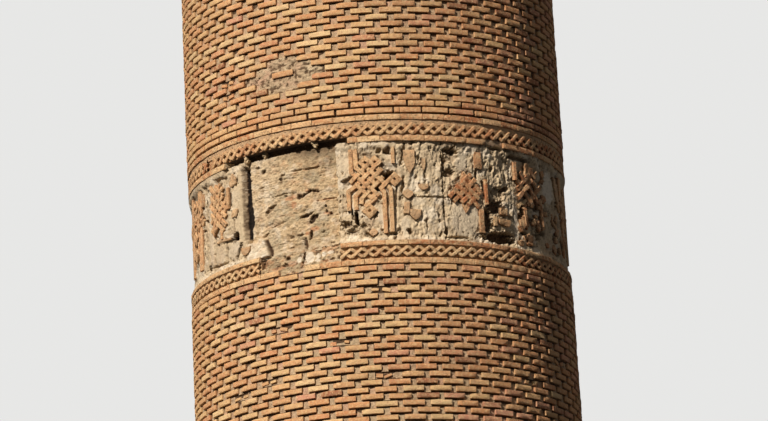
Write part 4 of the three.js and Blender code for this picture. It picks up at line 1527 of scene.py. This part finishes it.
# bay: knot, azimuth, share of its runs left, redness, dust, how far it is sunk, wear
measured = {
    0: (mainKnot, sheet["knotAzimuth"], 1, 0.36, 0.1, 0, 1), 1: (smallKnot, 28.2, 0.98, 0.95, 0, 0, 1.6),
    2: (ruinKnot, 53.0, 0.92, 0.85, 0.3, -0.003, 3), 11: (leftKnot, -57.0, 0.97, 0.5, 0.2, 0.003, 1.5),
    10: (wholeKnot, -75.0, 0.92, 0.65, 0.25, 0.003, 1.5),
}


def anyOrnaments(centre):
    return [(centre + side * random.uniform(8, 11), random.uniform(-0.33, 0.02), kind, random.uniform(0.05, 0.11),
             random.uniform(0.06, 0.17), random.uniform(-8, 8), random.random())
            for side in (-1, 1) for kind in ("leaf", "cup", "bar")]


def crumbs(low, high, bottom, top, count):
    return [(random.uniform(low, high), random.uniform(bottom, top), random.choice(("leaf", "bar", "lozenge")),
             random.uniform(0.03, 0.075), random.uniform(0.03, 0.08), random.uniform(-60, 60),
             random.uniform(0.6, 1)) for _ in range(count)]


def layKnots():
    pitch = 360 / sheet["bays"]
    for bay in range(sheet["bays"] - 1):
        middle = sheet["firstBay"] + pitch * bay
        plain = ((wholeKnot, mainKnot, smallKnot)[bay % 3], middle, 0.93, 0.5, 0.2, 0.002, 1)
        strands, centre, kept, redness, dust, sunk, wear = measured.get(bay, plain)
        bm = bmesh.new()
        for key in ("tone", "dust"):
            bm.verts.layers.float.new(key)
        drop = strapCut["smallDrop"] if strands is smallKnot else 0
        for corners in strands:
            tone = min(1, max(0, random.gauss(redness, 0.15)))
            upright = all(x0 == x1 for (x0, _), (x1, _) in zip(corners, corners[1:]))
            for run in breakUp(walkPlait(corners), kept):
                addStrap(bm, run, strapCut["upright" if upright else "width"], tone, dust, drop)
        if bay in measured:
            near = [row for row in ornaments if abs(around(math.radians(row[0] - middle))) < math.radians(pitch / 2)]
        else:
            near = anyOrnaments(centre)
        if bay in crumbled:
            near += crumbs(*crumbled[bay])
        for azimuth, h, kind, wide, tall, lean, tone in near:
            across = around(math.radians(azimuth - centre)) * tower["radius"]
            dust = strapCut["ornamentDust"] * (0.3 if azimuth > 25 and bay < 3 else 1)
            addOrnament(bm, kind, wide, tall, lean, tone, dust, (across, atHeight(h) - sheet["knotHeight"]))
        finishKnot(bm, f"knot_panel_{bay + 1:02d}_straps", centre, sunk, wear * strapCut["worn"])


layKnots()
print("knots cut")

# camera at the photograph's place, 50.9 m in front and 1.57 m up
view = {
    "place": (0, -50.91, 1.568),
    "lens": 252.42,
    "sensor": 36,
    "far": 2000,
    "pitch": math.radians(15.41),
    "yaw": 0.0012389,
    "roll": -0.05196,
}


def stand(name, data, matrix):
    item = bpy.data.objects.new(name, data)
    item.matrix_world = matrix
    scene.collection.objects.link(item)
    return item


def addCamera():
    ahead = Vector((math.sin(view["yaw"]) * math.cos(view["pitch"]), math.cos(view["yaw"]) * math.cos(view["pitch"]),
                    math.sin(view["pitch"])))
    right = Vector((math.cos(view["yaw"]), -math.sin(view["yaw"]), 0))
    up = right.cross(ahead)
    c, s = math.cos(view["roll"]), math.sin(view["roll"])
    turned = Matrix((c * right + s * up, -s * right + c * up, -ahead)).transposed()
    data = bpy.data.cameras.new("camera")
    data.lens = view["lens"]
    data.sensor_width = view["sensor"]
    data.clip_end = view["far"]
    scene.camera = stand("camera", data, Matrix.Translation(view["place"]) @ turned.to_4x4())


light = {
    "azimuth": math.radians(-34),
    "height": math.radians(37),
    "strength": 4.7,
    "colour": (1.0, 0.921, 0.857),
    "softness": math.radians(1.6),
    "ambient": 0.154,
    "fromBelow": 0.035,
    "ambientColour": (0.96, 0.945, 1.0, 1),
    "backdrop": (0.80, 0.80, 0.79, 1),
    "floorRadius": 900,
}


def addLight():
    data = bpy.data.lights.new("key", "SUN")
    data.energy = light["strength"]
    data.color = light["colour"]
    data.angle = light["softness"]
    a, e = light["azimuth"], light["height"]
    towards = Vector((math.sin(a) * math.cos(e), -math.cos(a) * math.cos(e), math.sin(e)))
    stand("key", data, towards.to_track_quat("Z", "Y").to_matrix().to_4x4())
    world = bpy.data.worlds.new("studio")
    scene.world = world
    world.use_nodes = True
    sky = Graph(world.node_tree)
    # the sky is brighter than the ground, and what the camera sees of it is plain
    up = sky.node("ShaderNodeSeparateXYZ", {0: sky.node("ShaderNodeTexCoord", output="Generated")}, "Z")
    strength = sky.node("ShaderNodeMapRange", {"Value": up, "From Min": -0.2, "From Max": 0.3,
                                               "To Min": light["fromBelow"], "To Max": light["ambient"]})
    glow = sky.node("ShaderNodeBackground", {"Color": light["ambientColour"], "Strength": strength})
    plain = sky.node("ShaderNodeBackground", {"Color": light["backdrop"]})
    seen = sky.node("ShaderNodeLightPath", output="Is Camera Ray")
    sky.link(sky.node("ShaderNodeMixShader", {0: seen, 1: glow, 2: plain}),
             world.node_tree.nodes["World Output"].inputs["Surface"])


def addFloor():
    bm = bmesh.new()
    bmesh.ops.create_circle(bm, cap_ends=True, radius=light["floorRadius"], segments=96)
    mesh = writeMesh(bm)
    finish = Finish("pale floor", 0.9)
    finish.shader.inputs["Base Color"].default_value = colours["floor"]
    mesh.materials.append(finish.material)
    floor = stand("floor", mesh, Matrix())
    floor.visible_diffuse = False   # no glare from below


addCamera()
addLight()
addFloor()
scene.view_settings.view_transform = "Standard"

# the CAD solids that stay: mortar beds, inner walls, stone
kinds = {"doorway_jamb": "reveal", "doorway_arch": "reveal", "doorway_threshold": "stone", "floor_slab": "paving",
         "gallery_floor": "paving"}
for name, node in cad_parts.items():
    if name in rings or name.startswith(("knot_panel", "bare_core")):
        continue
    node.data.materials.clear()
    node.data.materials.append(finishes[next((kinds[start] for start in kinds if name.startswith(start)), "mortar")])

counts = {piece.name: sum(len(face.vertices) - 2 for face in piece.data.polygons)
          for piece in bpy.data.objects if piece.type == "MESH" and piece.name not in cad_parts}
print("triangles", sum(counts.values()), sorted(counts.items(), key=lambda item: -item[1])[:12])
